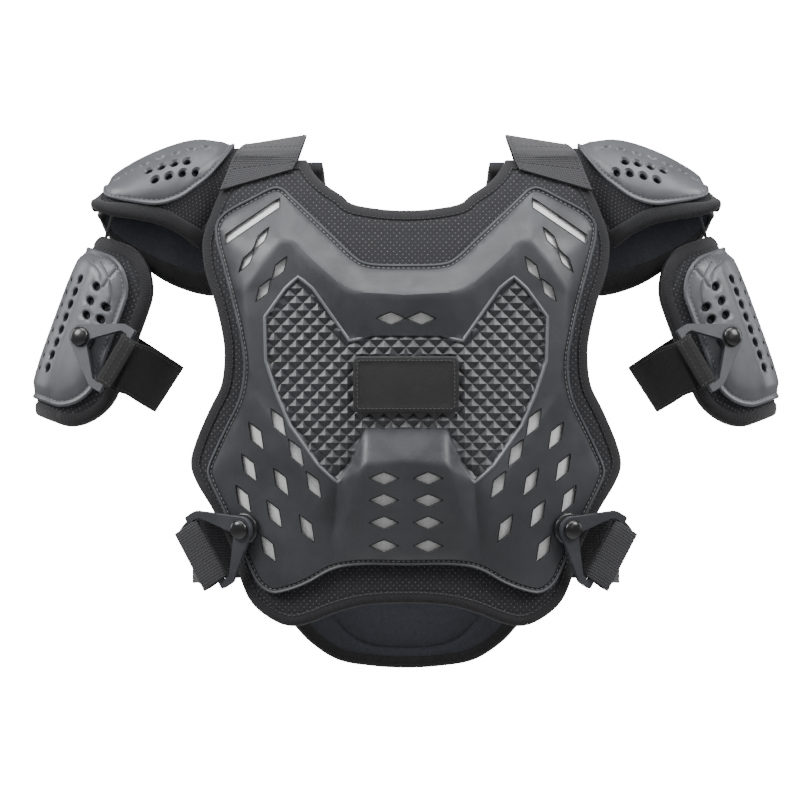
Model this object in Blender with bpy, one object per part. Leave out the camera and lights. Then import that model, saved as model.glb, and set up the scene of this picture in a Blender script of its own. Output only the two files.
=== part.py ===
"""Motorcycle chest protector, built as it sits on the body.

Padded chest and back panels carry moulded plates. Webbing joins them over the shoulders
and round the waist, arched wings cover the shoulders, and a guard hangs on each upper arm.

Frame: the wearer faces -Y, +Z is up and the wearer's left is +X. The origin is at the middle
of the neck, level with the top of the shoulders. Lengths are in metres.
"""

import math

import bmesh
import bpy
from mathutils import Vector
from mathutils.geometry import delaunay_2d_cdt

# Chest and back panels
CHEST_HALF_WIDTH = 0.168
CHEST_HEIGHT = 0.370
CHEST_DEPTH = 0.108
BACK_DEPTH = 0.098
WRAP_MARGIN = 0.017
SECTION_POWER = 2.3
PAD_THICKNESS = 0.010
LINER_THICKNESS = 0.0012
PLATE_THICKNESS = 0.0025
CHEST_RELIEF = 0.020
BACK_RELIEF = 0.012
LAYER_GAP = 0.0008
PANEL_SPACING = 0.022
PAD_SPACING = 0.027
WING_SPACING = 0.019
ARM_SPACING = 0.016
SLOPE_STEP = 0.001

# Patch at the middle of the chest plate
PATCH_WIDTH = 0.082
PATCH_HEIGHT = 0.044
PATCH_CORNER = 0.005
PATCH_THICKNESS = 0.0025

# Shoulder webbing
STRAP_WIDTH = 0.050
STRAP_THICKNESS = 0.0022
STRAP_TILT = math.radians(9)

# Shoulder wings and caps
WING_REACH = 0.249
WING_FALL = 0.112
WING_DEPTH = 0.058
WING_THICKNESS = 0.007
CAP_THICKNESS = 0.0025
CAP_HOLE_RADIUS = 0.0036
VENT_SIDES = 6

# Arm guards
ARM_TILT = math.radians(20)
ARM_INSET = 0.0306
ARM_DROP = 0.1404
ARM_RADIUS = 0.052
ARM_PAD_LENGTH = 0.148
ARM_PAD_ANGLE = math.radians(100)
ARM_PAD_THICKNESS = 0.008
ARM_PAD_ABOVE = 0.062
ARM_BARREL = 0.007
ARM_CORNER = 0.42
ARM_SHELL_MARGIN = 0.011
ARM_SHELL_ANGLE = math.radians(82)
ARM_SHELL_THICKNESS = 0.0025
ARM_VENT_ANGLE = math.radians(32)
ARM_VENT_COUNT = 8
ARM_VENT_PITCH = 0.0105
ARM_VENT_LENGTH = 0.0075
ARM_VENT_WIDTH = 0.0045
ARM_STRAP_WIDTH = 0.042
HANGER_WIDTH = 0.016
HANGER_THICKNESS = 0.0022

# Hook buckles and studs
BUCKLE_LENGTH = 0.038
BUCKLE_THICKNESS = 0.004
BUCKLE_ARM = 0.006
BUCKLE_BAR = 0.005
BUCKLE_SHOULDER = 0.009
WINDOW_END_WIDTH = 0.006
NOSE_RADIUS = 0.010
WEBBING_PLAY = 0.001
WEBBING_LEAD = 0.008
WEBBING_SPACING = 0.009
WAIST_FREE_END = 0.016
ARM_FREE_END = 0.010
WAIST_SIDE_LENGTH = 0.040
POST_RADIUS = 0.004
POST_PLAY = 0.0012
STUD_HEAD_RADIUS = 0.0078
STUD_HEAD_HEIGHT = 0.005
BOSS_HEIGHT = 0.004
WAIST_BOSS_RADIUS = 0.0125
ARM_BOSS_RADIUS = 0.0095
RIGID_GAP = 0.0004

TORSO_HALF_WIDTH = CHEST_HALF_WIDTH + WRAP_MARGIN
LINER_LIFT = LAYER_GAP
PLATE_LIFT = LINER_LIFT + LINER_THICKNESS + LAYER_GAP

# How far the torso stands out, as shares: (down / CHEST_HEIGHT, depth / CHEST_DEPTH)
CHEST_PROFILE = (
    (-0.05, 0.22),
    (0.00, 0.38),
    (0.05, 0.52),
    (0.10, 0.65),
    (0.20, 0.84),
    (0.30, 0.95),
    (0.42, 1.00),
    (0.60, 0.985),
    (0.80, 0.95),
    (1.00, 0.93),
    (1.20, 0.93),
)
# (down / CHEST_HEIGHT, depth / BACK_DEPTH)
BACK_PROFILE = (
    (-0.05, 0.24),
    (0.00, 0.42),
    (0.05, 0.60),
    (0.10, 0.75),
    (0.20, 0.93),
    (0.32, 1.00),
    (0.50, 0.95),
    (0.70, 0.86),
    (0.90, 0.84),
    (1.20, 0.88),
)

# Half outlines from the top centre to the bottom centre:
# (across / CHEST_HALF_WIDTH, down / CHEST_HEIGHT, corner)
CHEST_PAD_OUTLINE = (
    (0.00, 0.128, False),
    (0.12, 0.125, False),
    (0.25, 0.114, False),
    (0.30, 0.096, False),
    (0.38, 0.071, False),
    (0.43, 0.048, False),
    (0.465, 0.020, True),
    (0.76, 0.020, True),
    (0.80, 0.050, False),
    (0.86, 0.084, False),
    (0.91, 0.137, False),
    (0.945, 0.190, False),
    (0.935, 0.253, False),
    (0.89, 0.316, False),
    (0.855, 0.380, False),
    (0.842, 0.432, False),
    (0.857, 0.495, False),
    (0.912, 0.547, False),
    (0.973, 0.611, False),
    (1.00, 0.660, False),
    (0.973, 0.701, False),
    (0.895, 0.760, False),
    (0.81, 0.838, False),
    (0.755, 0.918, False),
    (0.70, 0.960, False),
    (0.60, 0.992, False),
    (0.52, 1.000, False),
    (0.43, 0.990, False),
    (0.33, 0.972, False),
    (0.19, 0.956, False),
    (0.00, 0.951, False),
)
PLATE_OUTLINE = (
    (0.00, 0.242, False),
    (0.17, 0.239, False),
    (0.24, 0.223, False),
    (0.33, 0.184, False),
    (0.52, 0.101, False),
    (0.57, 0.081, False),
    (0.62, 0.078, False),
    (0.72, 0.100, False),
    (0.83, 0.127, False),
    (0.88, 0.152, False),
    (0.885, 0.185, False),
    (0.85, 0.248, False),
    (0.81, 0.316, False),
    (0.775, 0.385, False),
    (0.753, 0.455, False),
    (0.775, 0.522, False),
    (0.835, 0.581, False),
    (0.885, 0.629, False),
    (0.921, 0.670, False),
    (0.910, 0.700, False),
    (0.84, 0.767, False),
    (0.73, 0.876, False),
    (0.685, 0.914, False),
    (0.62, 0.933, False),
    (0.54, 0.927, False),
    (0.45, 0.911, False),
    (0.34, 0.884, False),
    (0.22, 0.874, False),
    (0.00, 0.874, False),
)
BACK_PAD_OUTLINE = (
    (0.00, 0.165, False),
    (0.18, 0.155, False),
    (0.31, 0.125, False),
    (0.375, 0.075, False),
    (0.395, 0.020, True),
    (0.76, 0.020, True),
    (0.84, 0.085, False),
    (0.91, 0.160, False),
    (0.92, 0.250, False),
    (0.86, 0.350, False),
    (0.825, 0.430, False),
    (0.85, 0.510, False),
    (0.92, 0.600, False),
    (0.95, 0.665, False),
    (0.90, 0.740, False),
    (0.80, 0.830, False),
    (0.72, 0.900, False),
    (0.63, 0.965, False),
    (0.535, 1.003, False),
    (0.45, 1.043, False),
    (0.32, 1.080, False),
    (0.16, 1.093, False),
    (0.00, 1.097, False),
)
BACK_PLATE_OUTLINE = (
    (0.00, 0.260, False),
    (0.20, 0.245, False),
    (0.42, 0.170, False),
    (0.54, 0.110, False),
    (0.64, 0.110, False),
    (0.76, 0.160, False),
    (0.79, 0.240, False),
    (0.73, 0.340, False),
    (0.69, 0.440, False),
    (0.72, 0.540, False),
    (0.80, 0.640, False),
    (0.75, 0.700, False),
    (0.59, 0.810, False),
    (0.46, 0.885, False),
    (0.28, 0.920, False),
    (0.00, 0.935, False),
)

# Named points of the chest plate's facets:
# (across / CHEST_HALF_WIDTH, down / CHEST_HEIGHT, height / CHEST_RELIEF)
CHEST_FACETS = {
    "ridge_centre": (0.00, 0.307, 0.80),
    "ridge_bend": (0.235, 0.301, 0.80),
    "ridge_turn": (0.285, 0.293, 0.78),
    "ridge_rise": (0.447, 0.227, 0.72),
    "ridge_peak_in": (0.526, 0.192, 0.70),
    "ridge_peak_out": (0.577, 0.190, 0.70),
    "ridge_fall": (0.670, 0.242, 0.62),
    "ridge_end": (0.758, 0.301, 0.46),
    "collar_crease": (0.566, 0.092, 0.04),
    "clavicle_out": (0.828, 0.189, 0.20),
    "clavicle_low": (0.791, 0.248, 0.26),
    "wing_apex": (0.498, 0.272, 0.42),
    "wing_shoulder": (0.553, 0.295, 0.42),
    "wing_out": (0.647, 0.354, 0.38),
    "wing_side": (0.642, 0.444, 0.38),
    "wing_turn": (0.586, 0.520, 0.38),
    "wing_low": (0.530, 0.579, 0.36),
    "wing_bottom_out": (0.400, 0.663, 0.30),
    "wing_bottom": (0.316, 0.697, 0.22),
    "wing_in": (0.437, 0.295, 0.44),
    "wing_slope": (0.353, 0.349, 0.40),
    "notch_out": (0.265, 0.406, 0.33),
    "notch_in": (0.214, 0.402, 0.33),
    "panel_top_out": (0.158, 0.392, 0.33),
    "panel_top": (0.00, 0.392, 0.33),
    "panel_centre": (0.00, 0.495, 0.33),
    "panel_mid": (0.255, 0.495, 0.33),
    "panel_side": (0.42, 0.520, 0.33),
    "panel_low": (0.300, 0.575, 0.33),
    "belly_top": (0.00, 0.588, 0.33),
    "belly_top_out": (0.186, 0.589, 0.33),
    "belly_foot": (0.260, 0.663, 0.22),
    "belly_ridge": (0.00, 0.655, 0.98),
    "belly_ridge_out": (0.195, 0.663, 0.92),
    "belly_side": (0.251, 0.754, 0.62),
    "belly_low": (0.279, 0.846, 0.22),
    "belly_bottom": (0.00, 0.852, 0.28),
    "valley_mid": (0.326, 0.762, 0.12),
    "valley_low": (0.340, 0.832, 0.08),
    "waist_in": (0.721, 0.497, 0.40),
    "flank_high": (0.544, 0.621, 0.56),
    "flank_mid": (0.409, 0.749, 0.50),
    "side_mid": (0.749, 0.400, 0.40),
    "outer_high": (0.772, 0.568, 0.26),
    "outer_mid": (0.856, 0.674, 0.16),
    "outer_low": (0.791, 0.737, 0.20),
    "outer_foot": (0.670, 0.863, 0.14),
    "hem_in": (0.479, 0.884, 0.14),
    "hem_out": (0.560, 0.908, 0.08),
}
CHEST_CREASES = (
    ("ridge_centre", "ridge_bend", "ridge_turn", "ridge_rise", "ridge_peak_in"),
    ("ridge_peak_in", "ridge_peak_out", "ridge_fall", "ridge_end"),
    ("collar_crease", "ridge_peak_out"),
    ("ridge_end", "side_mid", "waist_in", "flank_high", "flank_mid", "valley_low"),
    ("wing_apex", "wing_shoulder", "wing_out", "wing_side", "wing_turn", "wing_low"),
    ("wing_low", "wing_bottom_out", "wing_bottom", "belly_foot", "belly_top_out", "belly_top"),
    ("wing_apex", "wing_in", "wing_slope", "notch_out", "notch_in", "panel_top_out", "panel_top"),
    ("ridge_end", "wing_out"),
    ("belly_ridge", "belly_ridge_out", "belly_side", "belly_low", "belly_bottom"),
    ("belly_top_out", "belly_ridge_out"),
    ("belly_foot", "wing_bottom", "valley_mid", "valley_low", "hem_in", "hem_out"),
    ("belly_ridge_out", "belly_foot"),
)
BACK_FACETS = {
    "spine_top": (0.00, 0.34, 1.00),
    "spine_top_out": (0.14, 0.34, 0.90),
    "spine_waist": (0.00, 0.62, 0.85),
    "spine_waist_out": (0.10, 0.62, 0.75),
    "spine_foot": (0.00, 0.86, 0.60),
    "spine_foot_out": (0.16, 0.86, 0.55),
    "blade_top": (0.50, 0.20, 0.45),
    "blade_out": (0.66, 0.26, 0.45),
    "blade_low": (0.46, 0.44, 0.45),
    "loin_out": (0.64, 0.66, 0.40),
    "loin_low": (0.44, 0.82, 0.40),
    "groove_top": (0.22, 0.34, 0.30),
    "groove_waist": (0.18, 0.62, 0.25),
    "groove_foot": (0.24, 0.86, 0.25),
}
BACK_CREASES = (
    ("spine_top", "spine_top_out", "spine_waist_out", "spine_foot_out", "spine_foot"),
    ("groove_top", "groove_waist", "groove_foot"),
    ("groove_top", "blade_top", "blade_out", "blade_low", "loin_out", "loin_low", "groove_foot"),
)

# Windows of the chest plate. A shape is its two half diagonals, in shares of WINDOW_SIZE.
WINDOW_SIZE = 0.0115
WINDOW_SHAPES = {
    "slanted": ((0.47, 0.87), (-0.26, 0.24)),
    "facet": ((-0.47, 0.74), (0.22, 0.16)),
    "narrow": ((-0.50, 0.74), (0.13, 0.09)),
    "level": ((0.93, 0.00), (0.00, 0.34)),
}
# (shape, across / CHEST_HALF_WIDTH, down / CHEST_HEIGHT), on one half
WINDOWS = (
    ("slanted", 0.590, 0.574),
    ("slanted", 0.507, 0.638),
    ("slanted", 0.426, 0.705),
    ("slanted", 0.693, 0.602),
    ("slanted", 0.726, 0.669),
    ("slanted", 0.753, 0.735),
    ("slanted", 0.577, 0.699),
    ("slanted", 0.609, 0.766),
    ("slanted", 0.637, 0.838),
    ("slanted", 0.458, 0.796),
    ("facet", 0.584, 0.2505),
    ("facet", 0.659, 0.2965),
    ("narrow", 0.670, 0.188),
    ("narrow", 0.737, 0.234),
    ("level", 0.102, 0.691),
    ("level", 0.102, 0.737),
    ("level", 0.102, 0.784),
    ("level", 0.102, 0.833),
    ("level", 0.070, 0.356),
)
# The long slot on the collar bone: its ends at the top edge, and its width down
SLOT_ENDS = ((0.800, 0.186), (0.590, 0.104))
SLOT_WIDTH = 0.016

# Sections of a shoulder wing from the neck outwards. Across is the share from the inner
# place to WING_REACH, down is a share of WING_FALL and depth a share of WING_DEPTH:
# (crest across, crest down, front across, front down, back across, back down, depth)
WING_CREST_IN = 0.669
WING_FRONT_IN = 0.965
WING_BACK_IN = 0.896
WING_SECTIONS = (
    (0.000, -0.030, 0.000, 0.674, 0.000, 1.000, 0.70),
    (0.205, -0.024, 0.150, 0.583, 0.158, 0.972, 0.82),
    (0.383, -0.042, 0.330, 0.514, 0.349, 0.910, 0.93),
    (0.571, 0.021, 0.560, 0.472, 0.531, 0.819, 0.95),
    (0.765, 0.139, 0.800, 0.444, 0.800, 0.646, 0.88),
    (0.913, 0.292, 1.000, 0.389, 0.958, 0.458, 0.78),
)
# Half outline of the cap on the wing: (share along the wing, share from crest to edge)
CAP_OUTLINE = (
    (0.155, 0.00),
    (0.165, 0.30),
    (0.205, 0.52),
    (0.270, 0.66),
    (0.370, 0.80),
    (0.520, 0.87),
    (0.740, 0.83),
    (0.900, 0.70),
    (0.960, 0.35),
    (0.968, 0.00),
)
# Rows of round vents in the cap: (first along, first from crest, steps along and from crest)
CAP_VENT_ROWS = (
    (0.625, 0.520, -0.075, -0.018),
    (0.563, 0.643, -0.081, -0.029),
)
CAP_VENTS_IN_ROW = 4

# The arm strap seen along the arm: (angle round the arm in degrees, radius / ARM_RADIUS)
ARM_STRAP_ROUTE = (
    (108, 1.33),
    (122, 1.14),
    (148, 0.93),
    (180, 0.88),
    (212, 0.93),
    (238, 1.04),
)
# Its end lies on the arm pad at these angles, in degrees
ARM_STRAP_BACK = (258, 265, 272)
ARM_STUD_ANGLE = math.radians(60)
ARM_STUD_DOWN = 0.017
ARM_BUCKLE_TURN = math.radians(12)
ARM_STRAP_LEAN = math.radians(12.8)
ARM_STRAP_DOWN = 0.022

# Waist stud and webbing: (across / CHEST_HALF_WIDTH, down / CHEST_HEIGHT)
WAIST_STUD = (0.742, 0.796)
WAIST_BUCKLE_TURN = math.radians(-28)
WAIST_END = (0.70, 0.84)
WAIST_ROUND_BACK = (0.042, 0.028, 0.014, 0.0)

# Sewn end of the shoulder webbing, where it leaves the panel, and its place on the shoulder:
# (across / CHEST_HALF_WIDTH, down / CHEST_HEIGHT)
SHOULDER_STRAP_LOW = (0.695, 0.066)
SHOULDER_STRAP_HIGH = (0.640, 0.006)
SHOULDER_STRAP_TOP = 0.610

MATERIALS = {
    "plate_plastic": ((0.085, 0.090, 0.098), 0.42, 0.0),
    "liner_fabric": ((0.45, 0.46, 0.48), 0.80, 0.0),
    "pad_fabric": ((0.018, 0.019, 0.023), 0.90, 0.0),
    "patch_rubber": ((0.020, 0.020, 0.022), 0.60, 0.0),
    "webbing": ((0.030, 0.031, 0.034), 0.85, 0.0),
    "buckle_plastic": ((0.014, 0.014, 0.015), 0.38, 0.0),
}


def clear_scene():
    for item in list(bpy.data.objects):
        bpy.data.objects.remove(item, do_unlink=True)


def get_material(name):
    found = bpy.data.materials.get(name)
    if found:
        return found
    colour, roughness, metallic = MATERIALS[name]
    made = bpy.data.materials.new(name)
    made.use_nodes = True
    shader = made.node_tree.nodes["Principled BSDF"]
    shader.inputs["Base Color"].default_value = (*colour, 1.0)
    shader.inputs["Roughness"].default_value = roughness
    shader.inputs["Metallic"].default_value = metallic
    return made


def make_object(name, points, faces, material, side=1):
    """One closed body from points and faces, mirrored to -X where side is -1."""
    mesh = bpy.data.meshes.new(name)
    mesh.from_pydata([(side * p[0], p[1], p[2]) for p in points], [], faces)
    work = bmesh.new()
    work.from_mesh(mesh)
    bmesh.ops.recalc_face_normals(work, faces=work.faces)
    work.to_mesh(mesh)
    work.free()
    mesh.set_sharp_from_angle(angle=math.radians(25))
    mesh.materials.append(get_material(material))
    made = bpy.data.objects.new(name, mesh)
    bpy.context.scene.collection.objects.link(made)
    return made


def read_table(table, at):
    """The smooth value of a two-column table at a place, by cubic steps between rows."""
    rows = len(table)
    at = min(max(at, table[0][0]), table[-1][0])
    i = max(k for k in range(rows - 1) if table[k][0] <= at or k == 0)
    (a0, v0), (a1, v1) = table[i], table[i + 1]
    before, after = table[max(i - 1, 0)], table[min(i + 2, rows - 1)]
    slope0 = (v1 - before[1]) / (a1 - before[0])
    slope1 = (after[1] - v0) / (after[0] - a0)
    span = a1 - a0
    t = (at - a0) / span
    return (
        v0 * (2 * t**3 - 3 * t**2 + 1)
        + v1 * (3 * t**2 - 2 * t**3)
        + span * slope0 * (t**3 - 2 * t**2 + t)
        + span * slope1 * (t**3 - t**2)
    )


def spline(p0, p1, p2, p3, t):
    return 0.5 * (
        2 * p1 + (p2 - p0) * t + (2 * p0 - 5 * p1 + 4 * p2 - p3) * t * t + (3 * p1 - p0 - 3 * p2 + p3) * t**3
    )


def curve_through(points, spacing, closed=False, corners=()):
    """Points along a smooth curve through the given ones, with a break at each corner index."""
    count = len(points)
    result = []
    for i in range(count if closed else count - 1):
        p1, p2 = points[i], points[(i + 1) % count]
        p0 = points[i - 1] if (closed or i > 0) and i not in corners else 2 * p1 - p2
        last = (i + 2) % count if closed else i + 2
        ends = (i + 1) % count in corners or last >= count
        p3 = 2 * p2 - p1 if ends else points[last]
        steps = max(1, round((p2 - p1).length / spacing))
        result += [spline(p0, p1, p2, p3, k / steps) for k in range(steps)]
    if not closed:
        result.append(points[-1])
    return result


def panel_outline(rows, spacing=PANEL_SPACING * 0.7):
    """A closed outline in metres from half an outline in shares of the chest panel."""
    half = [(Vector((u * CHEST_HALF_WIDTH, -v * CHEST_HEIGHT)), corner) for u, v, corner in rows]
    whole = half + [(Vector((-p.x, p.y)), corner) for p, corner in reversed(half[1:-1])]
    corners = {i for i, (_, corner) in enumerate(whole) if corner}
    return curve_through([p for p, _ in whole], spacing, closed=True, corners=corners)


def inside(p, loop):
    found = False
    for i, a in enumerate(loop):
        b = loop[i - 1]
        if (a.y > p.y) != (b.y > p.y) and p.x < (b.x - a.x) * (p.y - a.y) / (b.y - a.y) + a.x:
            found = not found
    return found


def edge_distance(p, edges):
    nearest = math.inf
    for a, b in edges:
        run = b - a
        t = min(max((p - a).dot(run) / max(run.length_squared, 1e-12), 0), 1)
        nearest = min(nearest, (p - a - run * t).length)
    return nearest


def split_line(points, spacing):
    """A broken line with straight runs divided evenly."""
    result = [points[0]]
    for a, b in zip(points, points[1:]):
        steps = max(1, round((b - a).length / spacing))
        result += [a.lerp(b, k / steps) for k in range(1, steps + 1)]
    return result


def triangulate(outline, holes, lines, spacing):
    """Triangles over a flat outline, with its holes left open and its lines kept as edges."""
    points, edges = [], []
    for loop in [outline, *holes]:
        start = len(points)
        points += loop
        edges += [(start + i, start + (i + 1) % len(loop)) for i in range(len(loop))]
    for line in lines:
        start = len(points)
        points += line
        edges += [(start + i, start + i + 1) for i in range(len(line) - 1)]
    fixed = [(points[a], points[b]) for a, b in edges]
    low = Vector((min(p.x for p in outline), min(p.y for p in outline)))
    high = Vector((max(p.x for p in outline), max(p.y for p in outline)))
    row_height = spacing * math.sqrt(3) / 2
    for row in range(math.floor(low.y / row_height), math.ceil(high.y / row_height) + 1):
        shift = 0.5 * (row % 2)
        for column in range(math.floor(low.x / spacing) - 1, math.ceil(high.x / spacing) + 1):
            p = Vector(((column + shift) * spacing, row * row_height))
            if inside(p, outline) and edge_distance(p, fixed) > 0.45 * spacing:
                points.append(p)
    flat, _, faces, *_ = delaunay_2d_cdt(points, edges, [], 0, 1e-7)
    kept = []
    for face in faces:
        centre = sum((flat[i] for i in face), Vector((0, 0))) / 3
        if inside(centre, outline) and not any(inside(centre, hole) for hole in holes):
            kept.append(list(face))
    return flat, kept


def build_panel(name, outline, outer, inner, material, holes=(), lines=(), spacing=PANEL_SPACING, side=1):
    """A sheet with an outer and an inner face, each placed by a function of the flat point."""
    flat, faces = triangulate(outline, list(holes), list(lines), spacing)
    used = sorted({i for face in faces for i in face})
    number = {old: new for new, old in enumerate(used)}
    faces = [[number[i] for i in face] for face in faces]
    points = [outer(flat[i]) for i in used] + [inner(flat[i]) for i in used]
    count = len(used)
    runs = {}
    for face in faces:
        for i in range(3):
            runs[(face[i], face[(i + 1) % 3])] = True
    solid = [tuple(face) for face in faces]
    solid += [tuple(count + i for i in reversed(face)) for face in faces]
    for a, b in runs:
        if (b, a) not in runs:
            solid.append((b, a, count + a))
            solid.append((b, count + a, count + b))
    return make_object(name, points, solid, material, side)


def build_loft(name, rings, material, side=1, smooth_ends=False):
    """A solid through rings of equal point counts, with flat or pointed ends."""
    size = len(rings[0])
    points = [p for ring in rings for p in ring]
    faces = []
    for r in range(len(rings) - 1):
        for i in range(size):
            j = (i + 1) % size
            a, b = r * size, (r + 1) * size
            faces.append((a + i, a + j, b + j, b + i))
    if smooth_ends:
        points.append(sum(rings[-1], Vector()) / size)
        top = (len(rings) - 1) * size
        faces += [(top + i, top + (i + 1) % size, len(points) - 1) for i in range(size)]
    else:
        faces.append(tuple((len(rings) - 1) * size + i for i in range(size)))
    faces.append(tuple(reversed(range(size))))
    return make_object(name, points, faces, material, side)


def build_ribbon(name, centres, across, thickness, material, side=1):
    """Flat webbing along a line of points. across holds each point's half-width vector."""
    rings = []
    for i, centre in enumerate(centres):
        ahead = centres[min(i + 1, len(centres) - 1)] - centres[max(i - 1, 0)]
        half = across[i]
        up = ahead.cross(half).normalized() * thickness / 2
        rings.append([centre + half + up, centre - half + up, centre - half - up, centre + half - up])
    return build_loft(name, rings, material, side)


def torso_y(x, z, depth, profile):
    """How far the body's form stands from the X-Z plane at a place seen from the front."""
    share = min(abs(x) / TORSO_HALF_WIDTH, 0.985)
    section = (1 - share**SECTION_POWER) ** (1 / SECTION_POWER)
    return depth * read_table(profile, -z / CHEST_HEIGHT) * section


def chest_y(x, z):
    return -torso_y(x, z, CHEST_DEPTH, CHEST_PROFILE)


def back_y(x, z):
    return torso_y(x, z, BACK_DEPTH, BACK_PROFILE)


def slopes(form, x, z):
    step = SLOPE_STEP
    along_x = (form(x + step, z) - form(x - step, z)) / (2 * step)
    along_z = (form(x, z + step) - form(x, z - step)) / (2 * step)
    return along_x, along_z


def raised(form, outward, flat, height):
    """The point at a height over a body form, still seen at the same place from the front."""
    along_x, along_z = slopes(form, flat.x, flat.y)
    slant = math.sqrt(1 + along_x**2 + along_z**2)
    return Vector((flat.x, form(flat.x, flat.y) + outward * height * slant, flat.y))


def sunk(form, outward, flat, depth):
    """The point at a depth under a body form, measured square to it."""
    along_x, along_z = slopes(form, flat.x, flat.y)
    normal = Vector((-along_x, 1, -along_z)).normalized() * outward
    return Vector((flat.x, form(flat.x, flat.y), flat.y)) - normal * depth


class Relief:
    """Heights between named points, flat from point to point and along the creases."""

    def __init__(self, outline_rows, facets, creases, size):
        self.size = size
        rim = panel_outline(outline_rows)
        half = [p for p in rim if p.x >= -1e-6]
        names = list(facets)
        places = [Vector((u * CHEST_HALF_WIDTH, -v * CHEST_HEIGHT)) for u, v, _ in facets.values()]
        points = half + places
        heights = [0.0] * len(half) + [share for _, _, share in facets.values()]
        edges = [(i, i + 1) for i in range(len(half) - 1)]
        for crease in creases:
            order = [len(half) + names.index(name) for name in crease]
            edges += list(zip(order, order[1:]))
        flat, _, faces, originals, *_ = delaunay_2d_cdt(points, edges, [], 0, 1e-7)
        self.triangles = []
        for face in faces:
            corner_heights = [heights[originals[i][0]] if originals[i] else 0.0 for i in face]
            self.triangles.append(([flat[i] for i in face], corner_heights))
        self.lines = []
        for crease in creases:
            line = split_line([places[names.index(name)] for name in crease], PANEL_SPACING)
            self.lines.append(line)
            self.lines.append([Vector((-p.x, p.y)) for p in line])

    def height(self, flat):
        p = Vector((abs(flat.x), flat.y))
        for (a, b, c), (ha, hb, hc) in self.triangles:
            area = (b - a).cross(c - a)
            wa, wb = (b - p).cross(c - p) / area, (c - p).cross(a - p) / area
            wc = 1 - wa - wb
            if min(wa, wb, wc) >= -1e-5:
                return self.size * (wa * ha + wb * hb + wc * hc)
        return 0.0


def both_halves(loops):
    return loops + [[Vector((-p.x, p.y)) for p in reversed(loop)] for loop in loops]


def window_loops():
    """The plate's cut windows, as closed loops in metres."""
    loops = []
    for shape, u, v in WINDOWS:
        centre = Vector((u * CHEST_HALF_WIDTH, -v * CHEST_HEIGHT))
        tip, flank = (Vector((-x, -y)) * WINDOW_SIZE for x, y in WINDOW_SHAPES[shape])
        loops.append([centre + tip, centre + flank, centre - tip, centre - flank])
    low, high = (Vector((u * CHEST_HALF_WIDTH, -v * CHEST_HEIGHT)) for u, v in SLOT_ENDS)
    drop = Vector((0, -SLOT_WIDTH * CHEST_HEIGHT))
    loops.append([low, high, high + drop, low + drop])
    return both_halves(loops)


def patch_outline():
    """A box with round corners, centred on the plate's middle panel."""
    centre_z = -CHEST_FACETS["panel_centre"][1] * CHEST_HEIGHT
    corner = Vector((PATCH_WIDTH / 2 - PATCH_CORNER, PATCH_HEIGHT / 2 - PATCH_CORNER))
    patch = []
    for start, sx, sy in ((90, 1, 1), (0, 1, -1), (-90, -1, -1), (-180, -1, 1)):
        for step in range(4):
            turn = math.radians(start - 30 * step)
            round_off = PATCH_CORNER * Vector((math.cos(turn), math.sin(turn)))
            patch.append(Vector((sx * corner.x, sy * corner.y + centre_z)) + round_off)
    return patch


def build_chest():
    relief = Relief(PLATE_OUTLINE, CHEST_FACETS, CHEST_CREASES, CHEST_RELIEF)
    plate_rim = panel_outline(PLATE_OUTLINE)

    def over(lift):
        return lambda flat: raised(chest_y, -1, flat, lift + relief.height(flat))

    build_panel(
        "chest_pad",
        panel_outline(CHEST_PAD_OUTLINE),
        lambda flat: raised(chest_y, -1, flat, 0),
        lambda flat: sunk(chest_y, -1, flat, PAD_THICKNESS),
        "pad_fabric",
        spacing=PAD_SPACING,
    )
    windows = window_loops()
    patch = patch_outline()
    kept = [*relief.lines, [*patch, patch[0]]]
    build_panel(
        "chest_liner",
        plate_rim,
        over(LINER_LIFT + LINER_THICKNESS),
        over(LINER_LIFT),
        "liner_fabric",
        lines=kept + [[*loop, loop[0]] for loop in windows],
    )
    build_panel(
        "chest_plate",
        plate_rim,
        over(PLATE_LIFT + PLATE_THICKNESS),
        over(PLATE_LIFT),
        "plate_plastic",
        holes=windows,
        lines=kept,
    )
    patch_lift = PLATE_LIFT + PLATE_THICKNESS + LAYER_GAP
    build_panel(
        "chest_patch",
        patch,
        over(patch_lift + PATCH_THICKNESS),
        over(patch_lift),
        "patch_rubber",
    )
    return over


def build_back():
    relief = Relief(BACK_PLATE_OUTLINE, BACK_FACETS, BACK_CREASES, BACK_RELIEF)
    build_panel(
        "back_pad",
        panel_outline(BACK_PAD_OUTLINE),
        lambda flat: raised(back_y, 1, flat, 0),
        lambda flat: sunk(back_y, 1, flat, PAD_THICKNESS),
        "pad_fabric",
        spacing=PAD_SPACING,
    )
    build_panel(
        "back_plate",
        panel_outline(BACK_PLATE_OUTLINE),
        lambda flat: raised(back_y, 1, flat, LAYER_GAP + PLATE_THICKNESS + relief.height(flat)),
        lambda flat: raised(back_y, 1, flat, LAYER_GAP + relief.height(flat)),
        "plate_plastic",
        lines=relief.lines,
    )


def wing_point(along, turn):
    """The wing's outer face. along runs outwards 0 to 1, turn from the front -1 to the back 1."""
    rows = len(WING_SECTIONS) - 1
    tables = [[(i / rows, row[k]) for i, row in enumerate(WING_SECTIONS)] for k in range(7)]
    crest_x, crest_z, front_x, front_z, back_x, back_z, depth = (read_table(t, along) for t in tables)
    inner_edge = WING_FRONT_IN if turn < 0 else WING_BACK_IN
    edge_x, edge_z = (front_x, front_z) if turn < 0 else (back_x, back_z)

    def place(inner, share):
        start = inner * CHEST_HALF_WIDTH
        return start + (WING_REACH - start) * share

    crest = Vector((place(WING_CREST_IN, crest_x), -crest_z * WING_FALL))
    edge = Vector((place(inner_edge, edge_x), -edge_z * WING_FALL))
    angle = abs(turn) * math.pi / 2
    seen = crest.lerp(edge, 1 - math.cos(angle))
    return Vector((seen.x, math.copysign(depth * WING_DEPTH * math.sin(angle), turn), seen.y))


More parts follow.
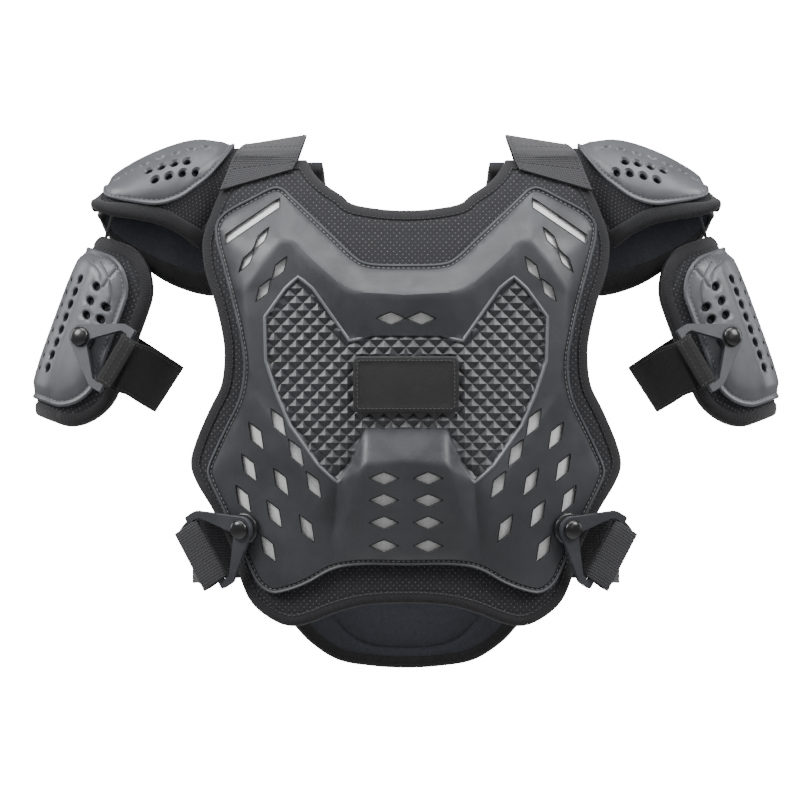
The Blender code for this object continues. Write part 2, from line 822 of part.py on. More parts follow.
def wing_offset(along, turn, height):
    """The point at a height over the wing's outer face."""
    step = 0.01
    run_along = wing_point(along + step, turn) - wing_point(along - step, turn)
    run_turn = wing_point(along, turn + step) - wing_point(along, turn - step)
    normal = run_along.cross(run_turn).normalized()
    if normal.z < 0 and abs(turn) < 0.5:
        normal = -normal
    outward = wing_point(along, turn) - Vector((wing_point(along, turn).x, 0, -WING_FALL))
    if normal.dot(outward) < 0:
        normal = -normal
    return wing_point(along, turn) + normal * height


# The wing is laid out flat as (along, turn) times these lengths
WING_FLAT = Vector((0.15, 0.10))


def build_shoulder(name, side):
    def over(height):
        return lambda flat: wing_offset(flat.x / WING_FLAT.x, flat.y / WING_FLAT.y, height)

    box = ((0, 1), (1, 1), (1, -1), (0, -1), (0, 1))
    corners = [Vector((WING_FLAT.x * a, WING_FLAT.y * t)) for a, t in box]
    half = [Vector((WING_FLAT.x * a, WING_FLAT.y * t)) for a, t in CAP_OUTLINE]
    rim = half + [Vector((p.x, -p.y)) for p in reversed(half[1:-1])]
    rim = curve_through(rim, WING_SPACING * 0.7, closed=True)
    vents = []
    for along, turn, step_along, step_turn in CAP_VENT_ROWS:
        for k in range(CAP_VENTS_IN_ROW):
            centre = Vector(((along + k * step_along) * WING_FLAT.x, -(turn + k * step_turn) * WING_FLAT.y))
            turns = [math.tau * i / VENT_SIDES for i in range(VENT_SIDES)]
            vents.append([centre + CAP_HOLE_RADIUS * Vector((math.cos(a), math.sin(a))) for a in turns])
    build_panel(
        f"shoulder_pad_{name}",
        split_line(corners, WING_SPACING)[:-1],
        over(0),
        over(-WING_THICKNESS),
        "pad_fabric",
        lines=[[*loop, loop[0]] for loop in (rim, *vents)],
        spacing=WING_SPACING,
        side=side,
    )
    build_panel(
        f"shoulder_cap_{name}",
        rim,
        over(LAYER_GAP + CAP_THICKNESS),
        over(LAYER_GAP),
        "plate_plastic",
        holes=vents,
        spacing=WING_SPACING,
        side=side,
    )


def build_shoulder_strap(name, side):
    """Webbing from the chest panel over the shoulder to the back panel."""
    rest = LAYER_GAP + STRAP_THICKNESS / 2
    lean = math.tan(STRAP_TILT)
    top_x = SHOULDER_STRAP_TOP * CHEST_HALF_WIDTH
    under = [wing_point(k / 20, 0) for k in range(5)]
    reached = [p for p in under if p.x < top_x + STRAP_WIDTH / 2 + STRAP_THICKNESS]
    top_z = max(p.z + (p.x - top_x) * lean for p in reached) + rest
    ends = (SHOULDER_STRAP_LOW, SHOULDER_STRAP_HIGH)
    sewn, leaves = (Vector((u * CHEST_HALF_WIDTH, -v * CHEST_HEIGHT)) for u, v in ends)
    places = [sewn.lerp(leaves, k / 3) for k in range(4)]
    front = [sunk(chest_y, -1, p, -rest) for p in places]
    back = [sunk(back_y, 1, p, -rest) for p in places]
    route = front + [Vector((top_x, 0, top_z))] + list(reversed(back))
    centres = curve_through(route, WEBBING_SPACING)
    half = STRAP_WIDTH / 2 * Vector((math.cos(STRAP_TILT), 0, -math.sin(STRAP_TILT)))
    across = []
    for i, centre in enumerate(centres):
        ahead = (centres[min(i + 1, len(centres) - 1)] - centres[max(i - 1, 0)]).normalized()
        form = chest_y if centre.y < 0 else back_y
        along_x, along_z = slopes(form, centre.x, min(centre.z, -SHOULDER_STRAP_HIGH[1] * CHEST_HEIGHT))
        on_panel = Vector((1, along_x, 0)).normalized() * STRAP_WIDTH / 2
        share = min(max((top_z - centre.z) / (top_z - front[-1].z), 0), 1)
        mixed = half.lerp(on_panel, share)
        mixed -= ahead * mixed.dot(ahead)
        across.append(mixed.normalized() * STRAP_WIDTH / 2)
    build_ribbon(f"shoulder_strap_{name}", centres, across, STRAP_THICKNESS, "webbing", side)


ARM_AXIS = Vector((math.sin(ARM_TILT), 0, -math.cos(ARM_TILT)))
ARM_OUT = Vector((math.cos(ARM_TILT), 0, math.sin(ARM_TILT)))
ARM_FORWARD = Vector((0, -1, 0))
ARM_CENTRE = Vector((WING_REACH - ARM_INSET, 0, -ARM_DROP))
# The pad's middle lies this far below ARM_CENTRE
ARM_PAD_MIDDLE = ARM_PAD_LENGTH / 2 - ARM_PAD_ABOVE


def arm_point(angle, down, radius):
    direction = ARM_OUT * math.cos(angle) + ARM_FORWARD * math.sin(angle)
    return ARM_CENTRE + ARM_AXIS * down + direction * radius


def arm_offset(flat, height):
    """The point over the arm pad's outer face at a flat place (length round, length down)."""
    share = (flat.y - ARM_PAD_MIDDLE) / (ARM_PAD_LENGTH / 2)
    radius = ARM_RADIUS - ARM_BARREL * share**4
    return arm_point(flat.x / ARM_RADIUS, flat.y, radius + height)


def rounded_box(half_x, low_y, high_y, corner, spacing=ARM_SPACING, steps=5):
    """A clockwise outline with round corners and evenly divided sides."""
    points = []
    high, low = high_y - corner, low_y + corner
    for start, sx, y in ((90, 1, high), (0, 1, low), (-90, -1, low), (-180, -1, high)):
        for k in range(steps + 1):
            turn = math.radians(start - 90 * k / steps)
            centre = Vector((sx * (half_x - corner), y))
            points.append(centre + corner * Vector((math.cos(turn), math.sin(turn))))
    return split_line([*points, points[0]], spacing)[:-1]


def build_arm_guard(name, side):
    low, high = -ARM_PAD_ABOVE, ARM_PAD_LENGTH - ARM_PAD_ABOVE
    half = ARM_RADIUS * ARM_PAD_ANGLE
    rim = rounded_box(half, low, high, half * ARM_CORNER)
    build_panel(
        f"arm_pad_{name}",
        rim,
        lambda flat: arm_offset(flat, 0),
        lambda flat: arm_offset(flat, -ARM_PAD_THICKNESS),
        "pad_fabric",
        side=side,
        spacing=ARM_SPACING,
    )
    low, high = low + ARM_SHELL_MARGIN, high - ARM_SHELL_MARGIN
    half = ARM_RADIUS * ARM_SHELL_ANGLE
    rim = rounded_box(half, low, high, half * ARM_CORNER)
    vents = []
    first = ARM_PAD_MIDDLE - ARM_VENT_PITCH * (ARM_VENT_COUNT - 1) / 2
    for k in range(ARM_VENT_COUNT):
        centre = Vector((ARM_RADIUS * ARM_VENT_ANGLE, first + k * ARM_VENT_PITCH))
        turns = [math.tau * i / VENT_SIDES for i in range(VENT_SIDES)]
        oval = [Vector((math.cos(a) * ARM_VENT_LENGTH / 2, math.sin(a) * ARM_VENT_WIDTH / 2)) for a in turns]
        vents.append([centre + p for p in oval])
    build_panel(
        f"arm_shell_{name}",
        rim,
        lambda flat: arm_offset(flat, LAYER_GAP + ARM_SHELL_THICKNESS),
        lambda flat: arm_offset(flat, LAYER_GAP),
        "plate_plastic",
        holes=vents,
        side=side,
        spacing=ARM_SPACING,
    )


def circle(radius, sides=12):
    turns = [math.tau * i / sides for i in range(sides)]
    return [radius * Vector((math.cos(a), math.sin(a))) for a in turns]


def seat(surface, flat, radius, ahead_flat, turn):
    """A frame on a surface: origin clear of it within the radius, then ahead, aside and up.

    ahead_flat is the flat direction that turn is measured from, towards the second flat axis.
    """
    step = radius * 0.8
    dx, dy = Vector((step, 0)), Vector((0, step))
    run_x = surface(flat + dx) - surface(flat - dx)
    run_y = surface(flat + dy) - surface(flat - dy)
    up = run_x.cross(run_y).normalized()
    centre = surface(flat)
    if up.dot(centre - Vector((0.6 * centre.x, 0, centre.z))) < 0:
        up = -up
    ring = [surface(flat + p) for p in circle(radius)]
    lift = max(0.0, max((p - centre).dot(up) for p in ring))
    flat_run = run_x if abs(ahead_flat.x) > 0.5 else run_y
    ahead = (flat_run * (ahead_flat.x + ahead_flat.y)).normalized()
    ahead = (ahead - up * ahead.dot(up)).normalized()
    aside = up.cross(ahead)
    if aside.z > 0:
        aside = -aside
    turned = ahead * math.cos(turn) + aside * math.sin(turn)
    return centre + up * (lift + RIGID_GAP), turned, up.cross(turned), up


def build_stud(name, frame, boss_radius, side):
    """A round boss, a post and a domed head."""
    origin, ahead, aside, up = frame
    neck = BOSS_HEIGHT + BUCKLE_THICKNESS + 2 * RIGID_GAP
    profile = [
        (boss_radius, 0),
        (boss_radius, BOSS_HEIGHT * 0.7),
        (boss_radius * 0.9, BOSS_HEIGHT),
        (POST_RADIUS, BOSS_HEIGHT),
        (POST_RADIUS, neck),
        (STUD_HEAD_RADIUS, neck),
        (STUD_HEAD_RADIUS, neck + STUD_HEAD_HEIGHT * 0.35),
        (STUD_HEAD_RADIUS * 0.75, neck + STUD_HEAD_HEIGHT * 0.8),
        (STUD_HEAD_RADIUS * 0.4, neck + STUD_HEAD_HEIGHT * 0.97),
    ]
    rings = []
    for radius, height in profile:
        middle = origin + up * height
        rings.append([middle + ahead * p.x + aside * p.y for p in circle(radius)])
    build_loft(name, rings, "buckle_plastic", side, smooth_ends=True)


def build_buckle(name, frame, width, side):
    """A triangular hook frame: its nose turns on the post and webbing goes round its bar."""
    origin, ahead, aside, up = frame
    half_slot = width / 2 + WEBBING_PLAY
    half = half_slot + BUCKLE_ARM
    shoulder = BUCKLE_LENGTH - BUCKLE_SHOULDER
    inner_end = BUCKLE_LENGTH - BUCKLE_BAR / 2
    outer_end = BUCKLE_LENGTH + BUCKLE_BAR / 2
    turns = [math.radians(245 - 130 * i / 8) for i in range(9)]
    nose = [NOSE_RADIUS * Vector((math.cos(a), math.sin(a))) for a in turns]
    foot = [(shoulder, half), (outer_end, half), (outer_end, -half), (shoulder, -half)]
    rim = nose + [Vector(p) for p in foot]
    hole = circle(POST_RADIUS + POST_PLAY)
    apex = NOSE_RADIUS + BUCKLE_ARM
    window = [
        Vector((apex, WINDOW_END_WIDTH / 2)),
        Vector((shoulder, half_slot)),
        Vector((inner_end, half_slot)),
        Vector((inner_end, -half_slot)),
        Vector((shoulder, -half_slot)),
        Vector((apex, -WINDOW_END_WIDTH / 2)),
    ]
    floor = BOSS_HEIGHT + RIGID_GAP

    def at(height):
        return lambda flat: origin + ahead * flat.x + aside * flat.y + up * height

    build_panel(
        name,
        rim,
        at(floor + BUCKLE_THICKNESS),
        at(floor),
        "buckle_plastic",
        holes=[hole, window],
        spacing=1.0,
        side=side,
    )


def bar_loop(frame, free_end):
    """Webbing round the buckle's bar: from its free end over the bar, through and back under."""
    origin, ahead, _, up = frame
    middle = BOSS_HEIGHT + RIGID_GAP + BUCKLE_THICKNESS / 2
    lift = BUCKLE_THICKNESS / 2 + RIGID_GAP + STRAP_THICKNESS / 2
    reach = BUCKLE_BAR / 2 + RIGID_GAP * 2 + STRAP_THICKNESS / 2
    steps = (
        (free_end, 0.9 * lift),
        (reach * 2.2, lift),
        (reach * 0.7, lift),
        (-reach * 0.55, lift * 0.95),
        (-reach * 1.15, lift * 0.45),
        (-reach * 1.15, -lift * 0.45),
        (-reach * 0.55, -lift * 0.95),
        (reach * 0.7, -lift),
        (reach * 2.2, -lift),
    )
    return [origin + ahead * (BUCKLE_LENGTH + p) + up * (middle + n) for p, n in steps]


def build_waist(name, side, over):
    surface = over(PLATE_LIFT + PLATE_THICKNESS)
    place = Vector((WAIST_STUD[0] * CHEST_HALF_WIDTH, -WAIST_STUD[1] * CHEST_HEIGHT))
    frame = seat(surface, place, WAIST_BOSS_RADIUS, Vector((1, 0)), -WAIST_BUCKLE_TURN)
    build_stud(f"waist_stud_{name}", frame, WAIST_BOSS_RADIUS, side)
    build_buckle(f"waist_buckle_{name}", frame, STRAP_WIDTH, side)
    _, ahead, aside, _ = frame
    near = bar_loop(frame, WAIST_FREE_END)
    start = near[-1]
    end_place = Vector((WAIST_END[0] * CHEST_HALF_WIDTH, -WAIST_END[1] * CHEST_HEIGHT))
    rest = LAYER_GAP + STRAP_THICKNESS / 2
    round_back = [sunk(back_y, 1, end_place + Vector((x, 0)), -rest) for x in WAIST_ROUND_BACK]
    side_x = CHEST_HALF_WIDTH * 0.99
    middle_z = (start.z + round_back[0].z) / 2
    run = WAIST_SIDE_LENGTH / 2
    route = near + [start + ahead * WEBBING_LEAD]
    route += [Vector((side_x, -run, middle_z)), Vector((side_x, run, middle_z))]
    route += round_back
    centres = curve_through(route, WEBBING_SPACING)
    across = []
    upright = Vector((0, 0, -1))
    for i, centre in enumerate(centres):
        toward = (centres[min(i + 1, len(centres) - 1)] - centres[max(i - 1, 0)]).normalized()
        share = min(max((centre.y - start.y) / (run / 2 - start.y), 0), 1)
        lean = aside if aside.z < 0 else -aside
        half = lean.lerp(upright, share)
        half -= toward * half.dot(toward)
        across.append(half.normalized() * STRAP_WIDTH / 2)
    build_ribbon(f"waist_strap_{name}", centres, across, STRAP_THICKNESS, "webbing", side)


def build_arm_fastening(name, side):
    def shell(flat):
        return arm_offset(flat, LAYER_GAP + ARM_SHELL_THICKNESS)

    place = Vector((ARM_RADIUS * ARM_STUD_ANGLE, ARM_STUD_DOWN))
    frame = seat(shell, place, ARM_BOSS_RADIUS, Vector((1, 0)), ARM_BUCKLE_TURN)
    build_stud(f"arm_stud_{name}", frame, ARM_BOSS_RADIUS, side)
    build_buckle(f"arm_buckle_{name}", frame, ARM_STRAP_WIDTH, side)
    _, ahead, aside, _ = frame
    near = bar_loop(frame, ARM_FREE_END)
    lean = math.tan(ARM_STRAP_LEAN)
    route = list(near)
    for degrees, share in ARM_STRAP_ROUTE:
        angle = math.radians(degrees)
        down = ARM_STRAP_DOWN - ARM_RADIUS * share * math.cos(angle) * lean
        route.append(arm_point(angle, down, ARM_RADIUS * share))
    rest = LAYER_GAP + STRAP_THICKNESS / 2
    for degrees in ARM_STRAP_BACK:
        angle = math.radians(degrees)
        down = ARM_STRAP_DOWN - ARM_RADIUS * math.cos(angle) * lean
        route.append(arm_point(angle, down, ARM_RADIUS + rest))
    centres = curve_through(route, WEBBING_SPACING)
    wide = ARM_AXIS * math.cos(ARM_STRAP_LEAN) + ARM_OUT * math.sin(ARM_STRAP_LEAN)
    across = []
    for i, centre in enumerate(centres):
        run = (centres[min(i + 1, len(centres) - 1)] - centres[max(i - 1, 0)]).normalized()
        away = (centre - near[-1]).length / ARM_STRAP_WIDTH
        share = min(2 * away, 1) if i > len(near) else 0
        start = aside if aside.dot(wide) > 0 else -aside
        half = start.lerp(wide, share)
        half -= run * half.dot(run)
        across.append(half.normalized() * ARM_STRAP_WIDTH / 2)
    build_ribbon(f"arm_strap_{name}", centres, across, STRAP_THICKNESS, "webbing", side)


def build_hanger(name, side):
    """Flat elastic from under the wing's tip to the top edge of the arm pad."""
    top = wing_offset(0.95, 0, -WING_THICKNESS - LAYER_GAP - HANGER_THICKNESS / 2)
    pad_top = Vector((0, -ARM_PAD_ABOVE))
    low = arm_offset(pad_top, -ARM_PAD_THICKNESS / 2) - ARM_AXIS * LAYER_GAP
    half = Vector((0, HANGER_WIDTH / 2, 0))
    centres = [top.lerp(low, k / 4) for k in range(5)]
    build_ribbon(f"arm_hanger_{name}", centres, [half] * 5, HANGER_THICKNESS, "webbing", side)


def main():
    clear_scene()
    over = build_chest()
    build_back()
    for name, side in (("right", -1), ("left", 1)):
        build_shoulder(name, side)
        build_shoulder_strap(name, side)
        build_arm_guard(name, side)
        build_arm_fastening(name, side)
        build_hanger(name, side)
        build_waist(name, side, over)


main()
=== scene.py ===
"""Studio scene of a motorcycle chest protector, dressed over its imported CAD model.

Lengths are in metres. The wearer faces -Y, +Z is up and the wearer's left is +X.
"""

import math

import bmesh
import bpy
import numpy as np
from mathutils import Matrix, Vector
from mathutils.geometry import delaunay_2d_cdt


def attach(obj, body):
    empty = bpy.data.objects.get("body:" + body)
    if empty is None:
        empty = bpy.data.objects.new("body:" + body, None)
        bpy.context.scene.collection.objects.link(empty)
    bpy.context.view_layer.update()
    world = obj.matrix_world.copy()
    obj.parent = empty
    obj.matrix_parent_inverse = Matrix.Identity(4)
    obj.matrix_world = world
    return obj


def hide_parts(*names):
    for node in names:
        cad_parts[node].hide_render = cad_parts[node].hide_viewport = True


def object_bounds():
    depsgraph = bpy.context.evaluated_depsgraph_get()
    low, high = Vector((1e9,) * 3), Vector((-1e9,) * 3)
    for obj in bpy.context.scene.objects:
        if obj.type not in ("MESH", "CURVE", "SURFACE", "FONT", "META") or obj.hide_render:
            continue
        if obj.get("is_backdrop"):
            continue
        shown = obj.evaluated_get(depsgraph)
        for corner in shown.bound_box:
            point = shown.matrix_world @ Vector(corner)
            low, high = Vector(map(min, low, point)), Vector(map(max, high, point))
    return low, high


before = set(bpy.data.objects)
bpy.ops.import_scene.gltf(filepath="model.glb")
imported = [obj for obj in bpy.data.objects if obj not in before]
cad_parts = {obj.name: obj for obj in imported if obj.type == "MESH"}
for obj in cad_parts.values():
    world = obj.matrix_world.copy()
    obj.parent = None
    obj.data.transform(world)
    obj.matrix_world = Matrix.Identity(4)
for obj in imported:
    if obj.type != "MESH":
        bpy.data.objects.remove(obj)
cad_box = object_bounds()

# Chest and back panels
CHEST_HALF_WIDTH = 0.168
CHEST_HEIGHT = 0.370
CHEST_DEPTH = 0.108
BACK_DEPTH = 0.098
WRAP_MARGIN = 0.017
SECTION_POWER = 2.3
PAD_THICKNESS = 0.010
LINER_THICKNESS = 0.0012
PLATE_THICKNESS = 0.0025
CHEST_RELIEF = 0.020
BACK_RELIEF = 0.012
LAYER_GAP = 0.0008
PANEL_SPACING = 0.022
SLOPE_STEP = 0.001

# Patch at the middle of the chest plate
PATCH_WIDTH = 0.082
PATCH_HEIGHT = 0.044
PATCH_CORNER = 0.005
PATCH_THICKNESS = 0.0025

# Shoulder webbing
STRAP_WIDTH = 0.050
STRAP_THICKNESS = 0.0022
STRAP_TILT = math.radians(9)

# Shoulder wings and caps
WING_REACH = 0.249
WING_FALL = 0.112
WING_DEPTH = 0.058
WING_THICKNESS = 0.007
CAP_THICKNESS = 0.0025

# Arm guards
ARM_TILT = math.radians(20)
ARM_INSET = 0.0306
ARM_DROP = 0.1404
ARM_RADIUS = 0.052
ARM_PAD_LENGTH = 0.148
ARM_PAD_ANGLE = math.radians(100)
ARM_PAD_THICKNESS = 0.008
ARM_PAD_ABOVE = 0.062
ARM_BARREL = 0.007
ARM_CORNER = 0.42
ARM_SHELL_MARGIN = 0.011
ARM_SHELL_ANGLE = math.radians(82)
ARM_SHELL_THICKNESS = 0.0025
ARM_VENT_ANGLE = math.radians(32)
ARM_VENT_COUNT = 8
ARM_VENT_PITCH = 0.0105
ARM_VENT_LENGTH = 0.0075
ARM_VENT_WIDTH = 0.0045
ARM_STRAP_WIDTH = 0.042
HANGER_WIDTH = 0.016
HANGER_THICKNESS = 0.0022

# Hook buckles and studs
BUCKLE_LENGTH = 0.038
BUCKLE_THICKNESS = 0.004
BUCKLE_ARM = 0.006
BUCKLE_BAR = 0.005
BUCKLE_SHOULDER = 0.009
WINDOW_END_WIDTH = 0.006
NOSE_RADIUS = 0.010
WEBBING_PLAY = 0.001
WEBBING_LEAD = 0.008
WAIST_FREE_END = 0.016
ARM_FREE_END = 0.010
WAIST_SIDE_LENGTH = 0.040
POST_RADIUS = 0.004
POST_PLAY = 0.0012
STUD_HEAD_RADIUS = 0.0078
STUD_HEAD_HEIGHT = 0.005
BOSS_HEIGHT = 0.004
WAIST_BOSS_RADIUS = 0.0125
ARM_BOSS_RADIUS = 0.0095
RIGID_GAP = 0.0004

TORSO_HALF_WIDTH = CHEST_HALF_WIDTH + WRAP_MARGIN
LINER_LIFT = LAYER_GAP
PLATE_LIFT = LINER_LIFT + LINER_THICKNESS + LAYER_GAP

# How far the torso stands out, as shares: (down / CHEST_HEIGHT, depth / CHEST_DEPTH)
CHEST_PROFILE = (
    (-0.05, 0.22),
    (0.00, 0.38),
    (0.05, 0.52),
    (0.10, 0.65),
    (0.20, 0.84),
    (0.30, 0.95),
    (0.42, 1.00),
    (0.60, 0.985),
    (0.80, 0.95),
    (1.00, 0.93),
    (1.20, 0.93),
)
# (down / CHEST_HEIGHT, depth / BACK_DEPTH)
BACK_PROFILE = (
    (-0.05, 0.24),
    (0.00, 0.42),
    (0.05, 0.60),
    (0.10, 0.75),
    (0.20, 0.93),
    (0.32, 1.00),
    (0.50, 0.95),
    (0.70, 0.86),
    (0.90, 0.84),
    (1.20, 0.88),
)

# Half outlines from the top centre to the bottom centre:
# (across / CHEST_HALF_WIDTH, down / CHEST_HEIGHT, corner)
CHEST_PAD_OUTLINE = (
    (0.00, 0.128, False),
    (0.12, 0.125, False),
    (0.25, 0.114, False),
    (0.30, 0.096, False),
    (0.38, 0.071, False),
    (0.43, 0.048, False),
    (0.465, 0.020, True),
    (0.76, 0.020, True),
    (0.80, 0.050, False),
    (0.86, 0.084, False),
    (0.91, 0.137, False),
    (0.945, 0.190, False),
    (0.935, 0.253, False),
    (0.89, 0.316, False),
    (0.855, 0.380, False),
    (0.842, 0.432, False),
    (0.857, 0.495, False),
    (0.912, 0.547, False),
    (0.973, 0.611, False),
    (1.00, 0.660, False),
    (0.973, 0.701, False),
    (0.895, 0.760, False),
    (0.81, 0.838, False),
    (0.755, 0.918, False),
    (0.70, 0.960, False),
    (0.60, 0.992, False),
    (0.52, 1.000, False),
    (0.43, 0.990, False),
    (0.33, 0.972, False),
    (0.19, 0.956, False),
    (0.00, 0.951, False),
)
PLATE_OUTLINE = (
    (0.00, 0.242, False),
    (0.17, 0.239, False),
    (0.24, 0.223, False),
    (0.33, 0.184, False),
    (0.52, 0.101, False),
    (0.57, 0.081, False),
    (0.62, 0.078, False),
    (0.72, 0.100, False),
    (0.83, 0.127, False),
    (0.88, 0.152, False),
    (0.885, 0.185, False),
    (0.85, 0.248, False),
    (0.81, 0.316, False),
    (0.775, 0.385, False),
    (0.753, 0.455, False),
    (0.775, 0.522, False),
    (0.835, 0.581, False),
    (0.885, 0.629, False),
    (0.921, 0.670, False),
    (0.910, 0.700, False),
    (0.84, 0.767, False),
    (0.73, 0.876, False),
    (0.685, 0.914, False),
    (0.62, 0.933, False),
    (0.54, 0.927, False),
    (0.45, 0.911, False),
    (0.34, 0.884, False),
    (0.22, 0.874, False),
    (0.00, 0.874, False),
)
BACK_PAD_OUTLINE = (
    (0.00, 0.165, False),
    (0.18, 0.155, False),
    (0.31, 0.125, False),
    (0.375, 0.075, False),
    (0.395, 0.020, True),
    (0.76, 0.020, True),
    (0.84, 0.085, False),
    (0.91, 0.160, False),
    (0.92, 0.250, False),
    (0.86, 0.350, False),
    (0.825, 0.430, False),
    (0.85, 0.510, False),
    (0.92, 0.600, False),
    (0.95, 0.665, False),
    (0.90, 0.740, False),
    (0.80, 0.830, False),
    (0.72, 0.900, False),
    (0.63, 0.965, False),
    (0.535, 1.003, False),
    (0.45, 1.043, False),
    (0.32, 1.080, False),
    (0.16, 1.093, False),
    (0.00, 1.097, False),
)
BACK_PLATE_OUTLINE = (
    (0.00, 0.260, False),
    (0.20, 0.245, False),
    (0.42, 0.170, False),
    (0.54, 0.110, False),
    (0.64, 0.110, False),
    (0.76, 0.160, False),
    (0.79, 0.240, False),
    (0.73, 0.340, False),
    (0.69, 0.440, False),
    (0.72, 0.540, False),
    (0.80, 0.640, False),
    (0.75, 0.700, False),
    (0.59, 0.810, False),
    (0.46, 0.885, False),
    (0.28, 0.920, False),
    (0.00, 0.935, False),
)

# Named points of the chest plate's facets:
# (across / CHEST_HALF_WIDTH, down / CHEST_HEIGHT, height / CHEST_RELIEF)
CHEST_FACETS = {
    "ridge_centre": (0.00, 0.307, 0.80),
    "ridge_bend": (0.235, 0.301, 0.80),
    "ridge_turn": (0.285, 0.293, 0.78),
    "ridge_rise": (0.447, 0.227, 0.72),
    "ridge_peak_in": (0.526, 0.192, 0.70),
    "ridge_peak_out": (0.577, 0.190, 0.70),
    "ridge_fall": (0.670, 0.242, 0.62),
    "ridge_end": (0.758, 0.301, 0.46),
    "collar_crease": (0.566, 0.092, 0.04),
    "clavicle_out": (0.828, 0.189, 0.20),
    "clavicle_low": (0.791, 0.248, 0.26),
    "wing_apex": (0.498, 0.272, 0.42),
    "wing_shoulder": (0.553, 0.295, 0.42),
    "wing_out": (0.647, 0.354, 0.38),
    "wing_side": (0.642, 0.444, 0.38),
    "wing_turn": (0.586, 0.520, 0.38),
    "wing_low": (0.530, 0.579, 0.36),
    "wing_bottom_out": (0.400, 0.663, 0.30),
    "wing_bottom": (0.316, 0.697, 0.22),
    "wing_in": (0.437, 0.295, 0.44),
    "wing_slope": (0.353, 0.349, 0.40),
    "notch_out": (0.265, 0.406, 0.33),
    "notch_in": (0.214, 0.402, 0.33),
    "panel_top_out": (0.158, 0.392, 0.33),
    "panel_top": (0.00, 0.392, 0.33),
    "panel_centre": (0.00, 0.495, 0.33),
    "panel_mid": (0.255, 0.495, 0.33),
    "panel_side": (0.42, 0.520, 0.33),
    "panel_low": (0.300, 0.575, 0.33),
    "belly_top": (0.00, 0.588, 0.33),
    "belly_top_out": (0.186, 0.589, 0.33),
    "belly_foot": (0.260, 0.663, 0.22),
    "belly_ridge": (0.00, 0.655, 0.98),
    "belly_ridge_out": (0.195, 0.663, 0.92),
    "belly_side": (0.251, 0.754, 0.62),
    "belly_low": (0.279, 0.846, 0.22),
    "belly_bottom": (0.00, 0.852, 0.28),
    "valley_mid": (0.326, 0.762, 0.12),
    "valley_low": (0.340, 0.832, 0.08),
    "waist_in": (0.721, 0.497, 0.40),
    "flank_high": (0.544, 0.621, 0.56),
    "flank_mid": (0.409, 0.749, 0.50),
    "side_mid": (0.749, 0.400, 0.40),
    "outer_high": (0.772, 0.568, 0.26),
    "outer_mid": (0.856, 0.674, 0.16),
    "outer_low": (0.791, 0.737, 0.20),
    "outer_foot": (0.670, 0.863, 0.14),
    "hem_in": (0.479, 0.884, 0.14),
    "hem_out": (0.560, 0.908, 0.08),
}
CHEST_CREASES = (
    ("ridge_centre", "ridge_bend", "ridge_turn", "ridge_rise", "ridge_peak_in"),
    ("ridge_peak_in", "ridge_peak_out", "ridge_fall", "ridge_end"),
    ("collar_crease", "ridge_peak_out"),
    ("ridge_end", "side_mid", "waist_in", "flank_high", "flank_mid", "valley_low"),
    ("wing_apex", "wing_shoulder", "wing_out", "wing_side", "wing_turn", "wing_low"),
    ("wing_low", "wing_bottom_out", "wing_bottom", "belly_foot", "belly_top_out", "belly_top"),
    ("wing_apex", "wing_in", "wing_slope", "notch_out", "notch_in", "panel_top_out", "panel_top"),
    ("ridge_end", "wing_out"),
    ("belly_ridge", "belly_ridge_out", "belly_side", "belly_low", "belly_bottom"),
    ("belly_top_out", "belly_ridge_out"),
    ("belly_foot", "wing_bottom", "valley_mid", "valley_low", "hem_in", "hem_out"),
    ("belly_ridge_out", "belly_foot"),
)
BACK_FACETS = {
    "spine_top": (0.00, 0.34, 1.00),
    "spine_top_out": (0.14, 0.34, 0.90),
    "spine_waist": (0.00, 0.62, 0.85),
    "spine_waist_out": (0.10, 0.62, 0.75),
    "spine_foot": (0.00, 0.86, 0.60),
    "spine_foot_out": (0.16, 0.86, 0.55),
    "blade_top": (0.50, 0.20, 0.45),
    "blade_out": (0.66, 0.26, 0.45),
    "blade_low": (0.46, 0.44, 0.45),
    "loin_out": (0.64, 0.66, 0.40),
    "loin_low": (0.44, 0.82, 0.40),
    "groove_top": (0.22, 0.34, 0.30),
    "groove_waist": (0.18, 0.62, 0.25),
    "groove_foot": (0.24, 0.86, 0.25),
}
BACK_CREASES = (
    ("spine_top", "spine_top_out", "spine_waist_out", "spine_foot_out", "spine_foot"),
    ("groove_top", "groove_waist", "groove_foot"),
    ("groove_top", "blade_top", "blade_out", "blade_low", "loin_out", "loin_low", "groove_foot"),
)

# Windows of the chest plate. A shape is its two half diagonals, in shares of WINDOW_SIZE.
WINDOW_SIZE = 0.0115
WINDOW_SHAPES = {
    "slanted": ((0.47, 0.87), (-0.26, 0.24)),
    "facet": ((-0.47, 0.74), (0.22, 0.16)),
    "narrow": ((-0.50, 0.74), (0.13, 0.09)),
    "level": ((0.93, 0.00), (0.00, 0.34)),
}
# (shape, across / CHEST_HALF_WIDTH, down / CHEST_HEIGHT), on one half
WINDOWS = (
    ("slanted", 0.590, 0.574),
    ("slanted", 0.507, 0.638),
    ("slanted", 0.426, 0.705),
    ("slanted", 0.693, 0.602),
    ("slanted", 0.726, 0.669),
    ("slanted", 0.753, 0.735),
    ("slanted", 0.577, 0.699),
    ("slanted", 0.609, 0.766),
    ("slanted", 0.637, 0.838),
    ("slanted", 0.458, 0.796),
    ("facet", 0.584, 0.2505),
    ("facet", 0.659, 0.2965),
    ("narrow", 0.670, 0.188),
    ("narrow", 0.737, 0.234),
    ("level", 0.102, 0.691),
    ("level", 0.102, 0.737),
    ("level", 0.102, 0.784),
    ("level", 0.102, 0.833),
    ("level", 0.070, 0.356),
)
# The long slot on the collar bone: its ends at the top edge, and its width down
SLOT_ENDS = ((0.836, 0.180), (0.588, 0.103))
SLOT_WIDTH = 0.016

